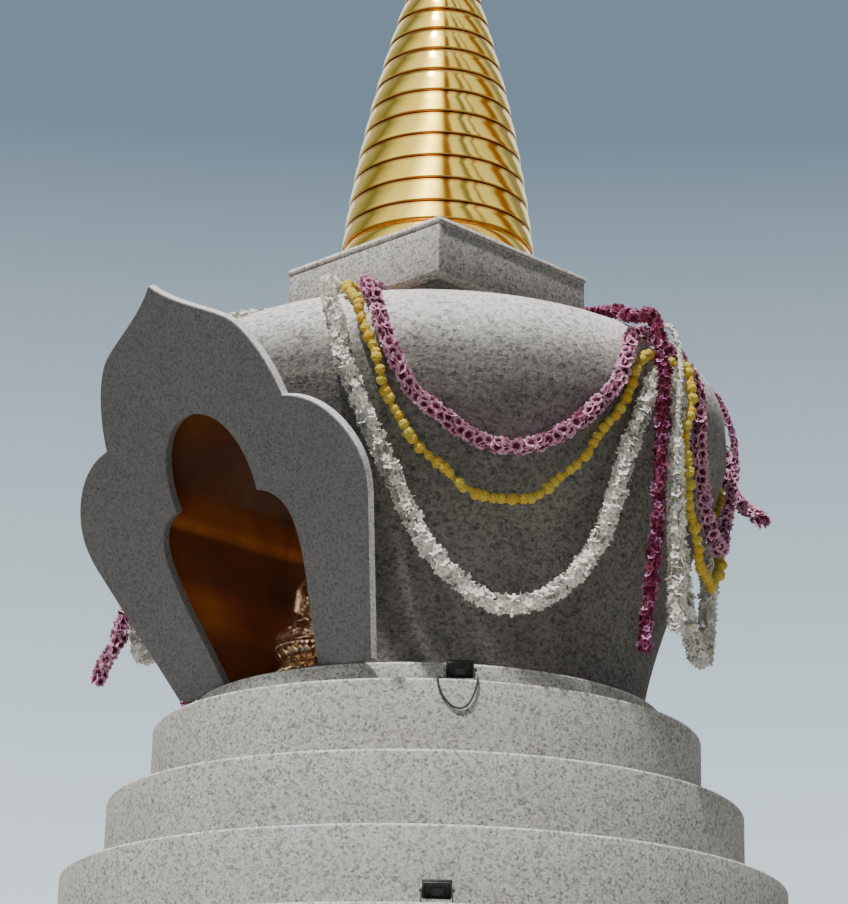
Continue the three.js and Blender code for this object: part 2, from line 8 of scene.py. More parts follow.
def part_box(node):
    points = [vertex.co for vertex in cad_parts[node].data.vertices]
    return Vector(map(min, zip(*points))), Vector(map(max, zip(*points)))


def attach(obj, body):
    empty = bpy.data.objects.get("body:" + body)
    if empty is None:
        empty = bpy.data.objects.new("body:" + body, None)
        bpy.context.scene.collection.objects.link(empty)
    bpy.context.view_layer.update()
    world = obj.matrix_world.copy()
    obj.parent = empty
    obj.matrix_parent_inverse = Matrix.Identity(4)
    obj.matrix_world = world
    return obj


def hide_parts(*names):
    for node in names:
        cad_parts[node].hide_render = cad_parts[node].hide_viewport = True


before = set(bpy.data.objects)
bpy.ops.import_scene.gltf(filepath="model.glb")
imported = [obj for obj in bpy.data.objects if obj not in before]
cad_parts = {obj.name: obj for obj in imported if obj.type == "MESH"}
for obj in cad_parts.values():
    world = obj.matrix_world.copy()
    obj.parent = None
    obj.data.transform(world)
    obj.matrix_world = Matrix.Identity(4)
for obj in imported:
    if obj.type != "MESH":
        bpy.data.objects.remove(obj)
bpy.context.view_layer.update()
print("frame loaded")

# Seen from the photo's place: a standing person, 12 m off the axis, looking up
viewpoint = {
    "distance": 12.0, "azimuth": 44.507, "eyeHeight": 1.6,
    "heading": 44.702, "pitch": 18.541, "roll": 1.335, "lens": 113.73,
}


def makeCamera():
    camera = bpy.data.objects.new("camera", bpy.data.cameras.new("camera"))
    bpy.context.scene.collection.objects.link(camera)
    camera.data.lens = viewpoint["lens"]
    camera.data.clip_end = 200
    azimuth = math.radians(viewpoint["azimuth"])
    away = viewpoint["distance"]
    place = Vector((away * math.sin(azimuth), -away * math.cos(azimuth), viewpoint["eyeHeight"]))
    turn = Matrix.Rotation(math.radians(viewpoint["heading"]), 4, "Z")
    tilt = Matrix.Rotation(math.radians(90 + viewpoint["pitch"]), 4, "X")
    roll = Matrix.Rotation(math.radians(viewpoint["roll"]), 4, "Z")
    camera.matrix_world = Matrix.Translation(place) @ turn @ tilt @ roll
    bpy.context.scene.camera = camera


makeCamera()
print("camera made")

# Material helpers


def newMaterial(name, **fixed):
    material = bpy.data.materials.new(name)
    material.use_nodes = True
    tree = material.node_tree
    tree.nodes.clear()
    output = tree.nodes.new("ShaderNodeOutputMaterial")
    shader = tree.nodes.new("ShaderNodeBsdfPrincipled")
    tree.links.new(shader.outputs[0], output.inputs[0])
    for socket, value in fixed.items():
        shader.inputs[socket.replace("_", " ")].default_value = value
    return material, tree, shader


def addNode(tree, kind, inputs=None, **settings):
    node = tree.nodes.new("ShaderNode" + kind)
    for key, value in settings.items():
        setattr(node, key, value)
    for key, value in (inputs or {}).items():
        if isinstance(value, bpy.types.NodeSocket):
            tree.links.new(value, node.inputs[key])
        else:
            node.inputs[key].default_value = value
    return node


def colourRamp(tree, factor, stops, sharp=False):
    ramp = addNode(tree, "ValToRGB", {0: factor})
    bands = ramp.color_ramp
    bands.interpolation = "CONSTANT" if sharp else "LINEAR"
    while len(bands.elements) < len(stops):
        bands.elements.new(0.5)
    for element, (place, colour) in zip(bands.elements, stops):
        element.position = place
        element.color = colour if len(colour) == 4 else (*colour, 1)
    return ramp.outputs[0]


def grey(level, warm=0.0):
    return (level * (1 + warm), level, level * (1 - warm))


def mixColour(tree, kind, factor, first, second):
    mix = addNode(tree, "Mix", data_type="RGBA", blend_type=kind)
    for socket, value in ((mix.inputs[0], factor), (mix.inputs[6], first), (mix.inputs[7], second)):
        if isinstance(value, bpy.types.NodeSocket):
            tree.links.new(value, socket)
        else:
            socket.default_value = value
    return mix.outputs[2]


def objectPlace(tree, scale=(1, 1, 1)):
    coordinates = addNode(tree, "TexCoord")
    return addNode(tree, "Mapping", {"Vector": coordinates.outputs["Object"], "Scale": scale}).outputs[0]


def bumpFrom(tree, height, strength, distance, before=None):
    inputs = {"Height": height, "Strength": strength, "Distance": distance}
    if before is not None:
        inputs["Normal"] = before
    return addNode(tree, "Bump", inputs).outputs[0]


# Garlands and the lamp cable. Routes: azimuth from the niche in degrees, distance from the axis and height in mm
whiteRoute = [
    [8, 378, 6142], [15.5, 865, 6090], [20.8, 1130, 6001], [23.3, 1238, 5926], [25.2, 1296, 5848],
    [27, 1329, 5760], [28, 1345, 5620], [30, 1332, 5490], [32, 1307, 5370], [37, 1258, 5120],
    [43, 1230, 4850], [50, 1220, 4680], [56, 1220, 4610], [63, 1220, 4620], [70, 1225, 4710],
    [76, 1232, 4860], [79.6, 1250, 5040], [81.4, 1278, 5230], [83.4, 1308, 5400], [85.4, 1341, 5550],
    [86.8, 1344, 5628], [89.4, 1344, 5662], [92.2, 1344, 5622], [94, 1342, 5540], [95, 1312, 5400],
    [97.4, 1266, 5150], [102, 1234, 4850], [108, 1208, 4690], [117, 1190, 4622], [127, 1188, 4705],
    [137, 1215, 4930], [149, 1300, 5350], [152, 1335, 5500], [155, 1344, 5680], [158, 1301, 5852],
    [161, 1133, 6008], [164, 865, 6094], [167, 380, 6142],
]
whiteLeftRoute = [
    [8, 378, 6142], [15.5, 865, 6090], [20.8, 1130, 6001], [23.3, 1238, 5926], [25.2, 1296, 5848],
    [27, 1329, 5760], [28, 1345, 5620], [30, 1332, 5490], [32, 1307, 5370], [37, 1256, 5125],
    [43, 1233, 4910], [46.5, 1248, 4852], [50, 1278, 4804], [56, 1296, 4755], [63, 1318, 4770],
    [70, 1308, 4855], [76, 1284, 4975], [79.6, 1264, 5090], [81.4, 1280, 5245], [83.4, 1308, 5400],
    [85.4, 1341, 5550], [86.8, 1344, 5628], [89.4, 1344, 5662], [92.2, 1344, 5622], [94, 1342, 5540],
    [95, 1312, 5400], [97.4, 1266, 5150], [102, 1234, 4850], [108, 1208, 4690], [117, 1190, 4622],
    [127, 1188, 4705], [137, 1215, 4930], [149, 1300, 5350], [152, 1335, 5500], [155, 1344, 5680],
    [158, 1301, 5852], [161, 1133, 6008], [164, 865, 6094], [167, 380, 6142],
]
yellowRoute = [
    [20, 402, 6122], [20.5, 700, 6098], [22.8, 980, 6041], [26.9, 1190, 5946], [29.6, 1272, 5857],
    [32, 1320, 5730], [35, 1317, 5525], [37, 1282, 5390], [40, 1252, 5285], [45, 1225, 5175],
    [51, 1200, 5080], [58, 1195, 5040], [65, 1205, 5080], [71, 1230, 5190], [76, 1262, 5330],
    [80, 1309, 5490], [82, 1326, 5575], [83, 1326, 5650], [85.2, 1316, 5735], [88, 1312, 5756],
    [90.4, 1317, 5746], [91.9, 1340, 5731], [92.5, 1382, 5710], [92.4, 1416, 5676], [92.1, 1428, 5625],
    [91.9, 1430, 5550], [90.9, 1422, 5372], [91.8, 1408, 5252], [93.8, 1387, 5140], [96.8, 1356, 5036],
    [101.6, 1320, 4942], [107, 1290, 4896], [113.1, 1270, 4904], [117.6, 1268, 4968], [138.5, 1283, 5205],
    [143, 1308, 5380], [146, 1319, 5510], [148.5, 1327, 5700], [150.3, 1274, 5858], [152, 1187, 5946],
    [154, 980, 6042], [155, 700, 6098], [155, 405, 6122],
]
pinkRoute = [
    [30, 420, 6127], [26.5, 700, 6102], [27.3, 980, 6047], [31.7, 1227, 5924], [33.5, 1284, 5842],
    [35.2, 1326, 5730], [38, 1332, 5560], [41, 1303, 5440], [46, 1288, 5352], [51, 1267, 5280],
    [57, 1262, 5245], [64, 1265, 5275], [70, 1282, 5360], [75, 1312, 5470], [78.6, 1332, 5585],
    [81, 1326, 5735], [83.2, 1303, 5815], [86, 1296, 5835], [89.5, 1301, 5822], [94, 1318, 5780],
    [98, 1329, 5720], [100.4, 1334, 5640], [101, 1328, 5530], [104.5, 1293, 5400], [109.5, 1266, 5240],
    [114.5, 1262, 5150], [121, 1263, 5122], [127, 1266, 5165], [131.5, 1284, 5300], [134, 1318, 5460],
    [135, 1339, 5600], [134.5, 1325, 5745], [132.8, 1259, 5889], [131, 1130, 5986], [130, 980, 6046],
    [129, 800, 6086], [129, 620, 6110], [128, 444, 6125],
]
maroonTailRoute = [
    [98, 376, 6131], [98.5, 490, 6123], [97.5, 620, 6113], [95, 800, 6089], [92, 980, 6049],
    [89, 1110, 5999], [87.3, 1190, 5953], [86.2, 1258, 5919], [85.8, 1325, 5913], [85.7, 1372, 5867],
    [85.7, 1394, 5790], [85.6, 1405, 5710], [85.3, 1427, 5600], [84.8, 1425, 5440], [84.8, 1418, 5280],
    [84.6, 1412, 5120], [84.3, 1406, 4960], [83.5, 1400, 4800], [82.9, 1394, 4650], [82.3, 1390, 4540],
    [82.2, 1388, 4450],
]
whiteTailRoute = [
    [110, 395, 6136], [109, 490, 6131], [107, 620, 6121], [103.5, 800, 6098], [99.5, 980, 6056],
    [96.5, 1090, 6015], [94, 1170, 5973], [92, 1240, 5925], [90.8, 1308, 5900], [90, 1371, 5866],
    [89.7, 1404, 5800], [89.3, 1425, 5720], [88.6, 1441, 5600], [88, 1437, 5440], [87.9, 1431, 5280],
    [87.9, 1426, 5120], [88.3, 1421, 4960], [88.5, 1416, 4800], [88.6, 1411, 4670], [88.8, 1408, 4560],
]
pinkTailFrontRoute = [
    [56, 446, 6130], [51, 535, 6122], [46, 660, 6109], [43.5, 800, 6086], [42.5, 980, 6046],
    [42, 1130, 5986], [42, 1242, 5906], [42.2, 1308, 5800], [42.4, 1333, 5700], [43, 1345, 5600],
    [43, 1354, 5500], [44, 1365, 5400], [44, 1361, 5280], [44, 1350, 5140], [44, 1334, 5000],
    [44, 1320, 4880], [44.2, 1335, 4775], [44.8, 1352, 4705], [45.6, 1393, 4652], [46.4, 1414, 4602],
    [47, 1430, 4545],
]
pinkTailBackRoute = [
    [143, 442, 6127], [144.5, 700, 6102], [146, 980, 6047], [146.5, 1204, 5942], [145.5, 1309, 5800],
    [144.2, 1339, 5690], [143.5, 1345, 5600], [143, 1352, 5550], [142.6, 1366, 5510], [141.5, 1390, 5468],
    [139.5, 1416, 5425], [137, 1442, 5380], [135, 1462, 5340],
]
# Aside, outward and upward from the foot of the upper lamp, in mm
cableRoute = [
    [-40, 5, 22], [-45, 20, 11], [-58, 38, 6], [-76, 60, 5], [-88, 78, 5],
    [-89, 84.5, -6], [-84, 84, -32], [-72, 82.5, -62], [-52, 82, -92], [-26, 80.5, -114],
    [4, 79, -120], [30, 77.5, -106], [48, 76.5, -78], [60, 75, -45], [67, 74, -12],
    [68, 67, 5], [68, 50, 5.5], [68, 30, 7], [68, 15, 10], [68, -14, 10],
    [68, -32, 6.5], [67, -60, 5.5], [66, -82, 6], [66, -99, 8],
]
joint = 0.0003
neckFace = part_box("harmika_neck_lower")[1].x + joint
lampFoot = {"azimuth": 45, "aside": 0.115, "outward": 1.092, "ledge": 4.3073}


def garlandPoints(route, side, tiedAtBothEnds):
    points = []
    for azimuth, radius, height in route:
        angle = side * math.radians(azimuth)
        points.append(Vector((radius * math.sin(angle), -radius * math.cos(angle), height)) / 1000)
    ends = [points[0], points[-1]] if tiedAtBothEnds else [points[0]]
    seats = []
    for point in ends:
        seat = point.copy()
        across = 0 if abs(point.x) > abs(point.y) else 1
        seat[across] = math.copysign(neckFace, point[across])
        seats.append(seat)
    return [seats[0], *points, *seats[1:]]


def cablePoints():
    turn = math.radians(lampFoot["azimuth"])
    points = []
    for aside, outward, upward in cableRoute:
        a = lampFoot["aside"] + aside / 1000
        o = lampFoot["outward"] + outward / 1000
        points.append(Vector((o * math.sin(turn) + a * math.cos(turn), -o * math.cos(turn) + a * math.sin(turn),
                              lampFoot["ledge"] + upward / 1000)))
    return points


def smoothPath(points, step):
    # A centripetal curve through the points, then even steps along it
    knots = [points[0] * 2 - points[1], *points, points[-1] * 2 - points[-2]]
    fine = []
    for i in range(1, len(knots) - 2):
        a, b, c, d = knots[i - 1:i + 3]
        spans = [max((q - p).length ** 0.5, 1e-4) for p, q in ((a, b), (b, c), (c, d))]
        startSlope = ((b - a) / spans[0] - (c - a) / (spans[0] + spans[1]) + (c - b) / spans[1]) * spans[1]
        endSlope = ((c - b) / spans[1] - (d - b) / (spans[1] + spans[2]) + (d - c) / spans[2]) * spans[1]
        for part in range(24):
            t = part / 24
            fine.append(b * (2 * t ** 3 - 3 * t ** 2 + 1) + startSlope * (t ** 3 - 2 * t ** 2 + t)
                        + c * (3 * t ** 2 - 2 * t ** 3) + endSlope * (t ** 3 - t ** 2))
    fine.append(points[-1])
    line = np.array(fine)
    along = np.concatenate([[0], np.cumsum(np.linalg.norm(np.diff(line, axis=0), axis=1))])
    count = max(2, round(along[-1] / step) + 1)
    marks = np.linspace(0, along[-1], count)
    even = np.stack([np.interp(marks, along, line[:, k]) for k in range(3)], axis=1)
    return even, float(along[-1])


# name: route, side, tied at both ends, diameter
garlands = {
    "garland_white_right": (whiteRoute, 1, True, 0.092),
    "garland_yellow_right": (yellowRoute, 1, True, 0.058),
    "garland_pink_right": (pinkRoute, 1, True, 0.068),
    "tail_maroon_right": (maroonTailRoute, 1, False, 0.072),
    "tail_white_right": (whiteTailRoute, 1, False, 0.084),
    "garland_white_left": (whiteLeftRoute, -1, True, 0.092),
    "garland_yellow_left": (yellowRoute, -1, True, 0.058),
    "garland_pink_left": (pinkRoute, -1, True, 0.068),
    "tail_maroon_left": (maroonTailRoute, -1, False, 0.072),
    "tail_white_left": (whiteTailRoute, -1, False, 0.084),
    "tail_pink_front_left": (pinkTailFrontRoute, -1, False, 0.068),
    "tail_pink_back_right": (pinkTailBackRoute, 1, False, 0.068),
}




# Mesh helpers


def addPiece(name, source, material, nodes=(), sharpAngle=32):
    mesh = source
    if isinstance(source, bmesh.types.BMesh):
        mesh = bpy.data.meshes.new(name)
        source.to_mesh(mesh)
        source.free()
    mesh.name = name
    mesh.materials.clear()
    mesh.materials.append(material)
    mesh.shade_smooth()
    mesh.set_sharp_from_angle(angle=math.radians(sharpAngle))
    piece = bpy.data.objects.new(name, mesh)
    bpy.context.scene.collection.objects.link(piece)
    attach(piece, "root")
    if nodes:
        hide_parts(*nodes)
    return piece


def addBox(bm, low, high):
    low, high = Vector(low), Vector(high)
    place = Matrix.Translation((low + high) / 2) @ Matrix.Diagonal((*(high - low), 1))
    return bmesh.ops.create_cube(bm, size=1, matrix=place)["verts"]


def addBall(bm, radii, centre, detail=2, turn=None):
    place = Matrix.Translation(centre) @ (turn or Matrix.Identity(4)) @ Matrix.Diagonal((*radii, 1))
    return bmesh.ops.create_icosphere(bm, subdivisions=detail, radius=1, matrix=place)["verts"]


def addRod(bm, radius, start, end, sides=12):
    start, end = Vector(start), Vector(end)
    turn = (end - start).to_track_quat("Z", "Y").to_matrix().to_4x4()
    place = Matrix.Translation((start + end) / 2) @ turn
    return bmesh.ops.create_cone(bm, cap_ends=True, segments=sides, radius1=radius, radius2=radius,
                                 depth=(end - start).length, matrix=place)["verts"]


def soften(bm, offset, segments=2, limit=30, paintedHighlight=False):
    # Bevel faces can be marked for the painted highlight, a paler edge colour
    # A new layer drops what was picked before, so it comes first
    layer = paintedHighlightLayer(bm) if paintedHighlight else None
    sharp = [edge for edge in bm.edges
             if len(edge.link_faces) == 2 and edge.calc_face_angle() > math.radians(limit)]
    made = bmesh.ops.bevel(bm, geom=sharp, offset=offset, offset_type="OFFSET", segments=segments, profile=0.5,
                           affect="EDGES", clamp_overlap=True, material=-1)
    if paintedHighlight:
        for face in made["faces"]:
            face[layer] = 1.0


def paintedHighlightLayer(bm):
    return bm.faces.layers.float.get("paintedHighlight") or bm.faces.layers.float.new("paintedHighlight")


def turnedShape(profile, steps=128):
    # Spins [radius, height] points that start and end on the axis
    bm = bmesh.new()
    corners = [bm.verts.new((radius, 0, height)) for radius, height in profile]
    edges = [bm.edges.new(pair) for pair in zip(corners, corners[1:])]
    bmesh.ops.spin(bm, geom=corners + edges, cent=(0, 0, 0), axis=(0, 0, 1), angle=2 * math.pi,
                   steps=steps, use_merge=True)
    bmesh.ops.remove_doubles(bm, verts=bm.verts, dist=1e-5)
    bmesh.ops.recalc_face_normals(bm, faces=bm.faces)
    return bm


def mergedCopy(node):
    bm = bmesh.new()
    bm.from_mesh(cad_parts[node].data)
    bmesh.ops.remove_doubles(bm, verts=bm.verts, dist=1e-5)
    bmesh.ops.dissolve_limit(bm, angle_limit=math.radians(0.5), verts=bm.verts, edges=bm.edges)
    bmesh.ops.recalc_face_normals(bm, faces=bm.faces)
    return bm


def settled(piece):
    # The piece's mesh with its modifiers applied
    bpy.context.view_layer.update()
    mesh = bpy.data.meshes.new_from_object(piece.evaluated_get(bpy.context.evaluated_depsgraph_get()))
    bpy.data.objects.remove(piece)
    return mesh


def looseObject(name, bm):
    mesh = bpy.data.meshes.new(name)
    bm.to_mesh(mesh)
    bm.free()
    piece = bpy.data.objects.new(name, mesh)
    bpy.context.scene.collection.objects.link(piece)
    return piece


# Stone


def graniteMaterial(name, look):
    material, tree, shader = newMaterial(name, Roughness=look["roughness"])
    place = objectPlace(tree)
    crystals = []
    for grain, share in ((look["grain"], 0.16), (look["grain"] * 0.5, 0.22)):
        cells = addNode(tree, "TexVoronoi", {"Vector": place, "Scale": 1 / grain})
        chance = addNode(tree, "SeparateColor", {0: cells.outputs["Color"]}).outputs[0]
        dark = grey(look["mica"])
        crystals.append(colourRamp(tree, chance, [
            (0, dark), (share * 0.6, dark), (share + 0.12, grey(look["quartz"], 0.01)),
            (0.6, grey(0.86, 0.012)), (1, grey(1.0, 0.015)),
        ]))
    speckle = mixColour(tree, "MIX", 0.45, crystals[0], crystals[1])
    cloud = addNode(tree, "TexNoise", {"Vector": place, "Scale": 2.4, "Detail": 5.0}).outputs[0]
    patches = colourRamp(tree, cloud, [(0.3, grey(look["patch"], 0.01)), (0.65, grey(1.0))])
    drip = addNode(tree, "TexNoise", {"Vector": objectPlace(tree, (7, 7, 0.6)), "Scale": 1.0, "Detail": 4.0})
    streaks = colourRamp(tree, drip.outputs[0], [(0.36, grey(0.62, 0.02)), (0.58, grey(1.0))])
    body = mixColour(tree, "MULTIPLY", 1.0, speckle, patches)
    body = mixColour(tree, "MULTIPLY", look["stain"], body, streaks)
    # Rare dark inclusions, a few to a square metre
    spots = addNode(tree, "TexVoronoi", {"Vector": place, "Scale": 4.2}).outputs["Distance"]
    body = mixColour(tree, "MULTIPLY", 1.0, body, colourRamp(tree, spots, [(0.022, grey(0.3)), (0.034, grey(1.0))]))
    pits = addNode(tree, "TexNoise", {"Vector": place, "Scale": 1 / look["pit"], "Detail": 4.0,
                                      "Roughness": 0.65}).outputs[0]
    bump = bumpFrom(tree, pits, 1.0, look["relief"])
    if "dash" in look:
        body, bump = addPickMarks(tree, look, body, bump)
    tone = mixColour(tree, "MULTIPLY", 1.0, body, (*look["colour"], 1))
    if "paintedSideShade" in look:
        # Painted shade: the two faces beside the niche's side are darkened, as they get less sun
        facing = addNode(tree, "SeparateXYZ", {0: addNode(tree, "NewGeometry").outputs["Normal"]}).outputs[0]
        beside = addNode(tree, "Math", {0: facing}, operation="ABSOLUTE").outputs[0]
        tone = mixColour(tree, "MULTIPLY", beside, tone, (*grey(look["paintedSideShade"]), 1))
    tone = mixColour(tree, "DARKEN", 1.0, tone, (*grey(0.95), 1))
    # Painted highlight: marked bevels and rims take the pale edge colour
    paintedHighlight = addNode(tree, "Attribute", attribute_name="paintedHighlight").outputs["Fac"]
    paintedHighlightTone = mixColour(tree, "MULTIPLY", 1.0, speckle, (*look["edge"], 1))
    tree.links.new(mixColour(tree, "MIX", paintedHighlight, tone, paintedHighlightTone), shader.inputs["Base Color"])
    tree.links.new(bump, shader.inputs["Normal"])
    return material


def addPickMarks(tree, look, body, bump):
    # Short level marks of the mason's pick, darkened in their hollows as painted shade, and painted light by height:
    # lighter toward the top, darker below the shoulder, with painted shade round the neck and at the foot
    length, tall = look["dash"]
    marks = objectPlace(tree, (1 / length, 1 / length, 1 / tall))
    bent = addNode(tree, "TexNoise", {"Vector": objectPlace(tree), "Scale": 18.0}).outputs["Color"]
    moved = addNode(tree, "VectorMath", {0: marks, 1: bent}, operation="ADD").outputs[0]
    cells = addNode(tree, "TexVoronoi", {"Vector": moved, "Scale": 1.0})
    chance = addNode(tree, "SeparateColor", {0: cells.outputs["Color"]}).outputs[0]
    depth = colourRamp(tree, chance, [(0.0, grey(0.0)), (look["dashShare"], grey(0.0)),
                                      (look["dashShare"] + 0.12, grey(1.0))])
    height = addNode(tree, "SeparateXYZ", {0: objectPlace(tree)}).outputs[2]
    drift = addNode(tree, "TexNoise", {"Vector": objectPlace(tree, (3, 3, 1)), "Scale": 1.0, "Detail": 3.0}).outputs[0]
    level = addNode(tree, "Math", {0: drift, 1: look["drift"], 2: height}, operation="MULTIPLY_ADD").outputs[0]
    # Painted light toward the top, darker below the shoulder, and painted shade in a ring round the neck
    low, high = look["paintedLightHeights"]
    heightShare = addNode(tree, "MapRange", {0: level, 1: low, 2: high}).outputs[0]
    shade = colourRamp(tree, heightShare, [(0, grey(look["flankTone"], 0.015)), (0.09, grey(0.36, 0.01)),
                                     (0.23, grey(0.72)), (0.37, grey(1.25)), (0.52, grey(1.7)), (0.86, grey(1.8)),
                                     (0.97, grey(0.5))])
    # Painted shade at the foot of the dome
    paintedFootShade = addNode(tree, "MapRange", {0: level, 1: 4.50, 2: 5.00}).outputs[0]
    shade = mixColour(tree, "MULTIPLY", 1.0, shade, colourRamp(tree, paintedFootShade, [(0, grey(0.78)), (1, grey(1.0))]))
    # Painted shade in the hollows of the pick marks
    shadowed = mixColour(tree, "MIX", depth, (*grey(look["dashShadeTone"]), 1), (*grey(1.0), 1))
    body = mixColour(tree, "MULTIPLY", 1.0, mixColour(tree, "MULTIPLY", 1.0, body, shadowed), shade)
    return body, bumpFrom(tree, depth, 1.0, look["dashDepth"], bump)


# Each edge colour is the painted highlight on marked bevels and rims
stoneLooks = {
    "steps": {"colour": (0.74, 0.745, 0.72), "grain": 0.0115, "mica": 0.24, "quartz": 0.60, "patch": 0.93,
              "stain": 0.12, "roughness": 0.78, "pit": 0.010, "relief": 0.002, "edge": (0.95, 0.96, 0.94)},
    "dome": {"colour": (0.80, 0.795, 0.77), "grain": 0.015, "mica": 0.30, "quartz": 0.62, "patch": 0.86,
             "stain": 0.4, "roughness": 0.9, "pit": 0.018, "relief": 0.006, "edge": (0.9, 0.9, 0.88),
             "dash": (0.019, 0.009), "dashShare": 0.12, "dashDepth": 0.003, "dashShadeTone": 0.68, "drift": 0.10,
             "paintedLightHeights": (5.62, 6.07), "flankTone": 0.39},
    # The slab's dark colour is painted shade on its face; its rims take the pale edge colour as painted highlight
    "slab": {"colour": (0.248, 0.252, 0.257), "grain": 0.010, "mica": 0.42, "quartz": 0.68, "patch": 0.92,
             "stain": 0.1, "roughness": 0.62, "pit": 0.01, "relief": 0.0008, "edge": (0.95, 0.95, 0.94)},
}
stepStone = graniteMaterial("stepStone", stoneLooks["steps"])
# The harmika stone's raised colour is painted light on its sunlit faces; its cover rim takes a painted highlight
# brighter than white
harmikaStone = graniteMaterial("harmikaStone", {**stoneLooks["steps"], "colour": (0.82, 0.82, 0.79), "paintedSideShade": 0.58,
                                                "edge": (1.3, 1.3, 1.27)})
# The neck stones are a dark copy of the step stone: painted shade under the harmika block
neckStone = graniteMaterial("neckStone", {**stoneLooks["steps"], "colour": (0.26, 0.26, 0.25), "edge": (0.35, 0.35, 0.34)})
domeStone = graniteMaterial("domeStone", stoneLooks["dome"])
slabStone = graniteMaterial("slabStone", stoneLooks["slab"])
print("stone materials made")

courses = {"edge": 0.008, "joint": 0.005, "jointDepth": 0.007, "stoneLength": 0.94}


def cutJoints(bm, cuts, width, depth):
    # Narrow grooves round the shape at each (axis, place)
    strip = set()
    for axis, place in cuts:
        across = Vector((0, 0, 0))
        across[axis] = 1
        for side in (-1, 1):
            bmesh.ops.bisect_plane(bm, geom=bm.verts[:] + bm.edges[:] + bm.faces[:],
                                   plane_co=across * (place + side * width / 2), plane_no=across)
    for face in bm.faces:
        middle = face.calc_center_median()
        for axis, place in cuts:
            if abs(middle[axis] - place) < width / 2 and abs(face.normal[axis]) < 0.5:
                strip.add(face)
    bmesh.ops.inset_region(bm, faces=list(strip), thickness=0, depth=-depth, use_even_offset=True)


def jointPlaces(halfWidth, shifted):
    length = courses["stoneLength"]
    places = []
    place = length / 2 if shifted else 0.0
    while place < halfWidth - length * 0.3:
        places += [place, -place] if place else [0.0]
        place += length
    return places


def buildCourses():
    names = ["ground_step_lower", "ground_step_upper", "throne_foot_lower", "throne_foot_upper",
             "cornice_lower", "cornice_upper", "cornice_slab"]
    for index, node in enumerate(names):
        low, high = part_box(node)
        bm = bmesh.new()
        addBox(bm, low, high)
        # The bevels take the painted highlight
        soften(bm, courses["edge"], paintedHighlight=True)
        places = jointPlaces(high.x, index % 2 == 0)
        cutJoints(bm, [(axis, place) for axis in (0, 1) for place in places], courses["joint"], courses["jointDepth"])
        addPiece(node + "_stones", bm, stepStone, [node])


throne = {"panelMargin": 0.33, "panelSunk": 0.045, "frameWidth": 0.055, "frameRise": 0.022,
          "fieldInset": 0.018, "fieldRise": 0.012}


def buildThrone():
    low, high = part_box("throne_body")
    bm = bmesh.new()
    addBox(bm, low, high)
    soften(bm, courses["edge"])
    margin = throne["panelMargin"]
    edges = [(0, high.x - margin), (1, high.y - margin), (2, high.z - 0.7 * margin)]
    for axis, place in edges:
        across = Vector((0, 0, 0))
        across[axis] = 1
        other = -place if axis < 2 else low.z + 0.7 * margin
        for cut in (place, other):
            bmesh.ops.bisect_plane(bm, geom=bm.verts[:] + bm.edges[:] + bm.faces[:],
                                   plane_co=across * cut, plane_no=across)
    panels = []
    for face in bm.faces:
        middle = face.calc_center_median()
        inside = abs(middle.z - (low.z + high.z) / 2) < 0.1
        flat = max(abs(face.normal.x), abs(face.normal.y)) > 0.99
        if inside and flat and min(abs(middle.x), abs(middle.y)) < 0.1:
            panels.append(face)
    bmesh.ops.inset_individual(bm, faces=panels, thickness=0.0, depth=-throne["panelSunk"])
    bmesh.ops.inset_individual(bm, faces=panels, thickness=throne["frameWidth"], depth=0.0)
    bmesh.ops.inset_individual(bm, faces=panels, thickness=throne["fieldInset"], depth=throne["frameRise"])
    bmesh.ops.inset_individual(bm, faces=panels, thickness=throne["frameWidth"], depth=0.0)
    bmesh.ops.inset_individual(bm, faces=panels, thickness=throne["fieldInset"], depth=-throne["fieldRise"])
    addPiece("throne_body_stones", bm, stepStone, ["throne_body"])


roundSteps = {"edge": 0.011}


def buildRoundSteps():
    for node in ("round_step_lowest", "round_step_lower", "round_step_middle", "round_step_upper", "dome_ring"):
        low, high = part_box(node)
        bm = turnedShape([(0, low.z), (high.x, low.z), (high.x, high.z), (0, high.z)], 160)
        # The bevels take the painted highlight
        soften(bm, roundSteps["edge"], 3, paintedHighlight=True)
        addPiece(node + "_drum", bm, stepStone, [node])


dome = {
    "footRadius": 0.921, "bellyRadius": 1.292, "bellyHeight": 1.145, "shoulderRise": 0.539,
    "lowBend": (0.960, 0.388), "highBend": (1.275, 0.988), "shoulderOut": 0.76, "shoulderUp": 0.55,
    "flankPoints": 26, "shoulderPoints": 26, "steps": 160,
}


def domeProfile(foot):
    start = Vector((dome["footRadius"], 0))
    end = Vector((dome["bellyRadius"], dome["bellyHeight"]))
    low, high = Vector(dome["lowBend"]), Vector(dome["highBend"])
    points = []
    for part in range(dome["flankPoints"] + 1):
        t = part / dome["flankPoints"]
        point = start * (1 - t) ** 3 + low * 3 * t * (1 - t) ** 2 + high * 3 * t * t * (1 - t) + end * t ** 3
        points.append((point.x, foot + point.y))
    for part in range(1, dome["shoulderPoints"]):
        angle = (part / dome["shoulderPoints"]) ** 1.6 * math.pi / 2
        points.append((dome["bellyRadius"] * math.cos(angle) ** dome["shoulderOut"],
                       foot + dome["bellyHeight"] + dome["shoulderRise"] * math.sin(angle) ** dome["shoulderUp"]))
    top = foot + dome["bellyHeight"] + dome["shoulderRise"]
    return [(0, foot), *points, (0, top)]


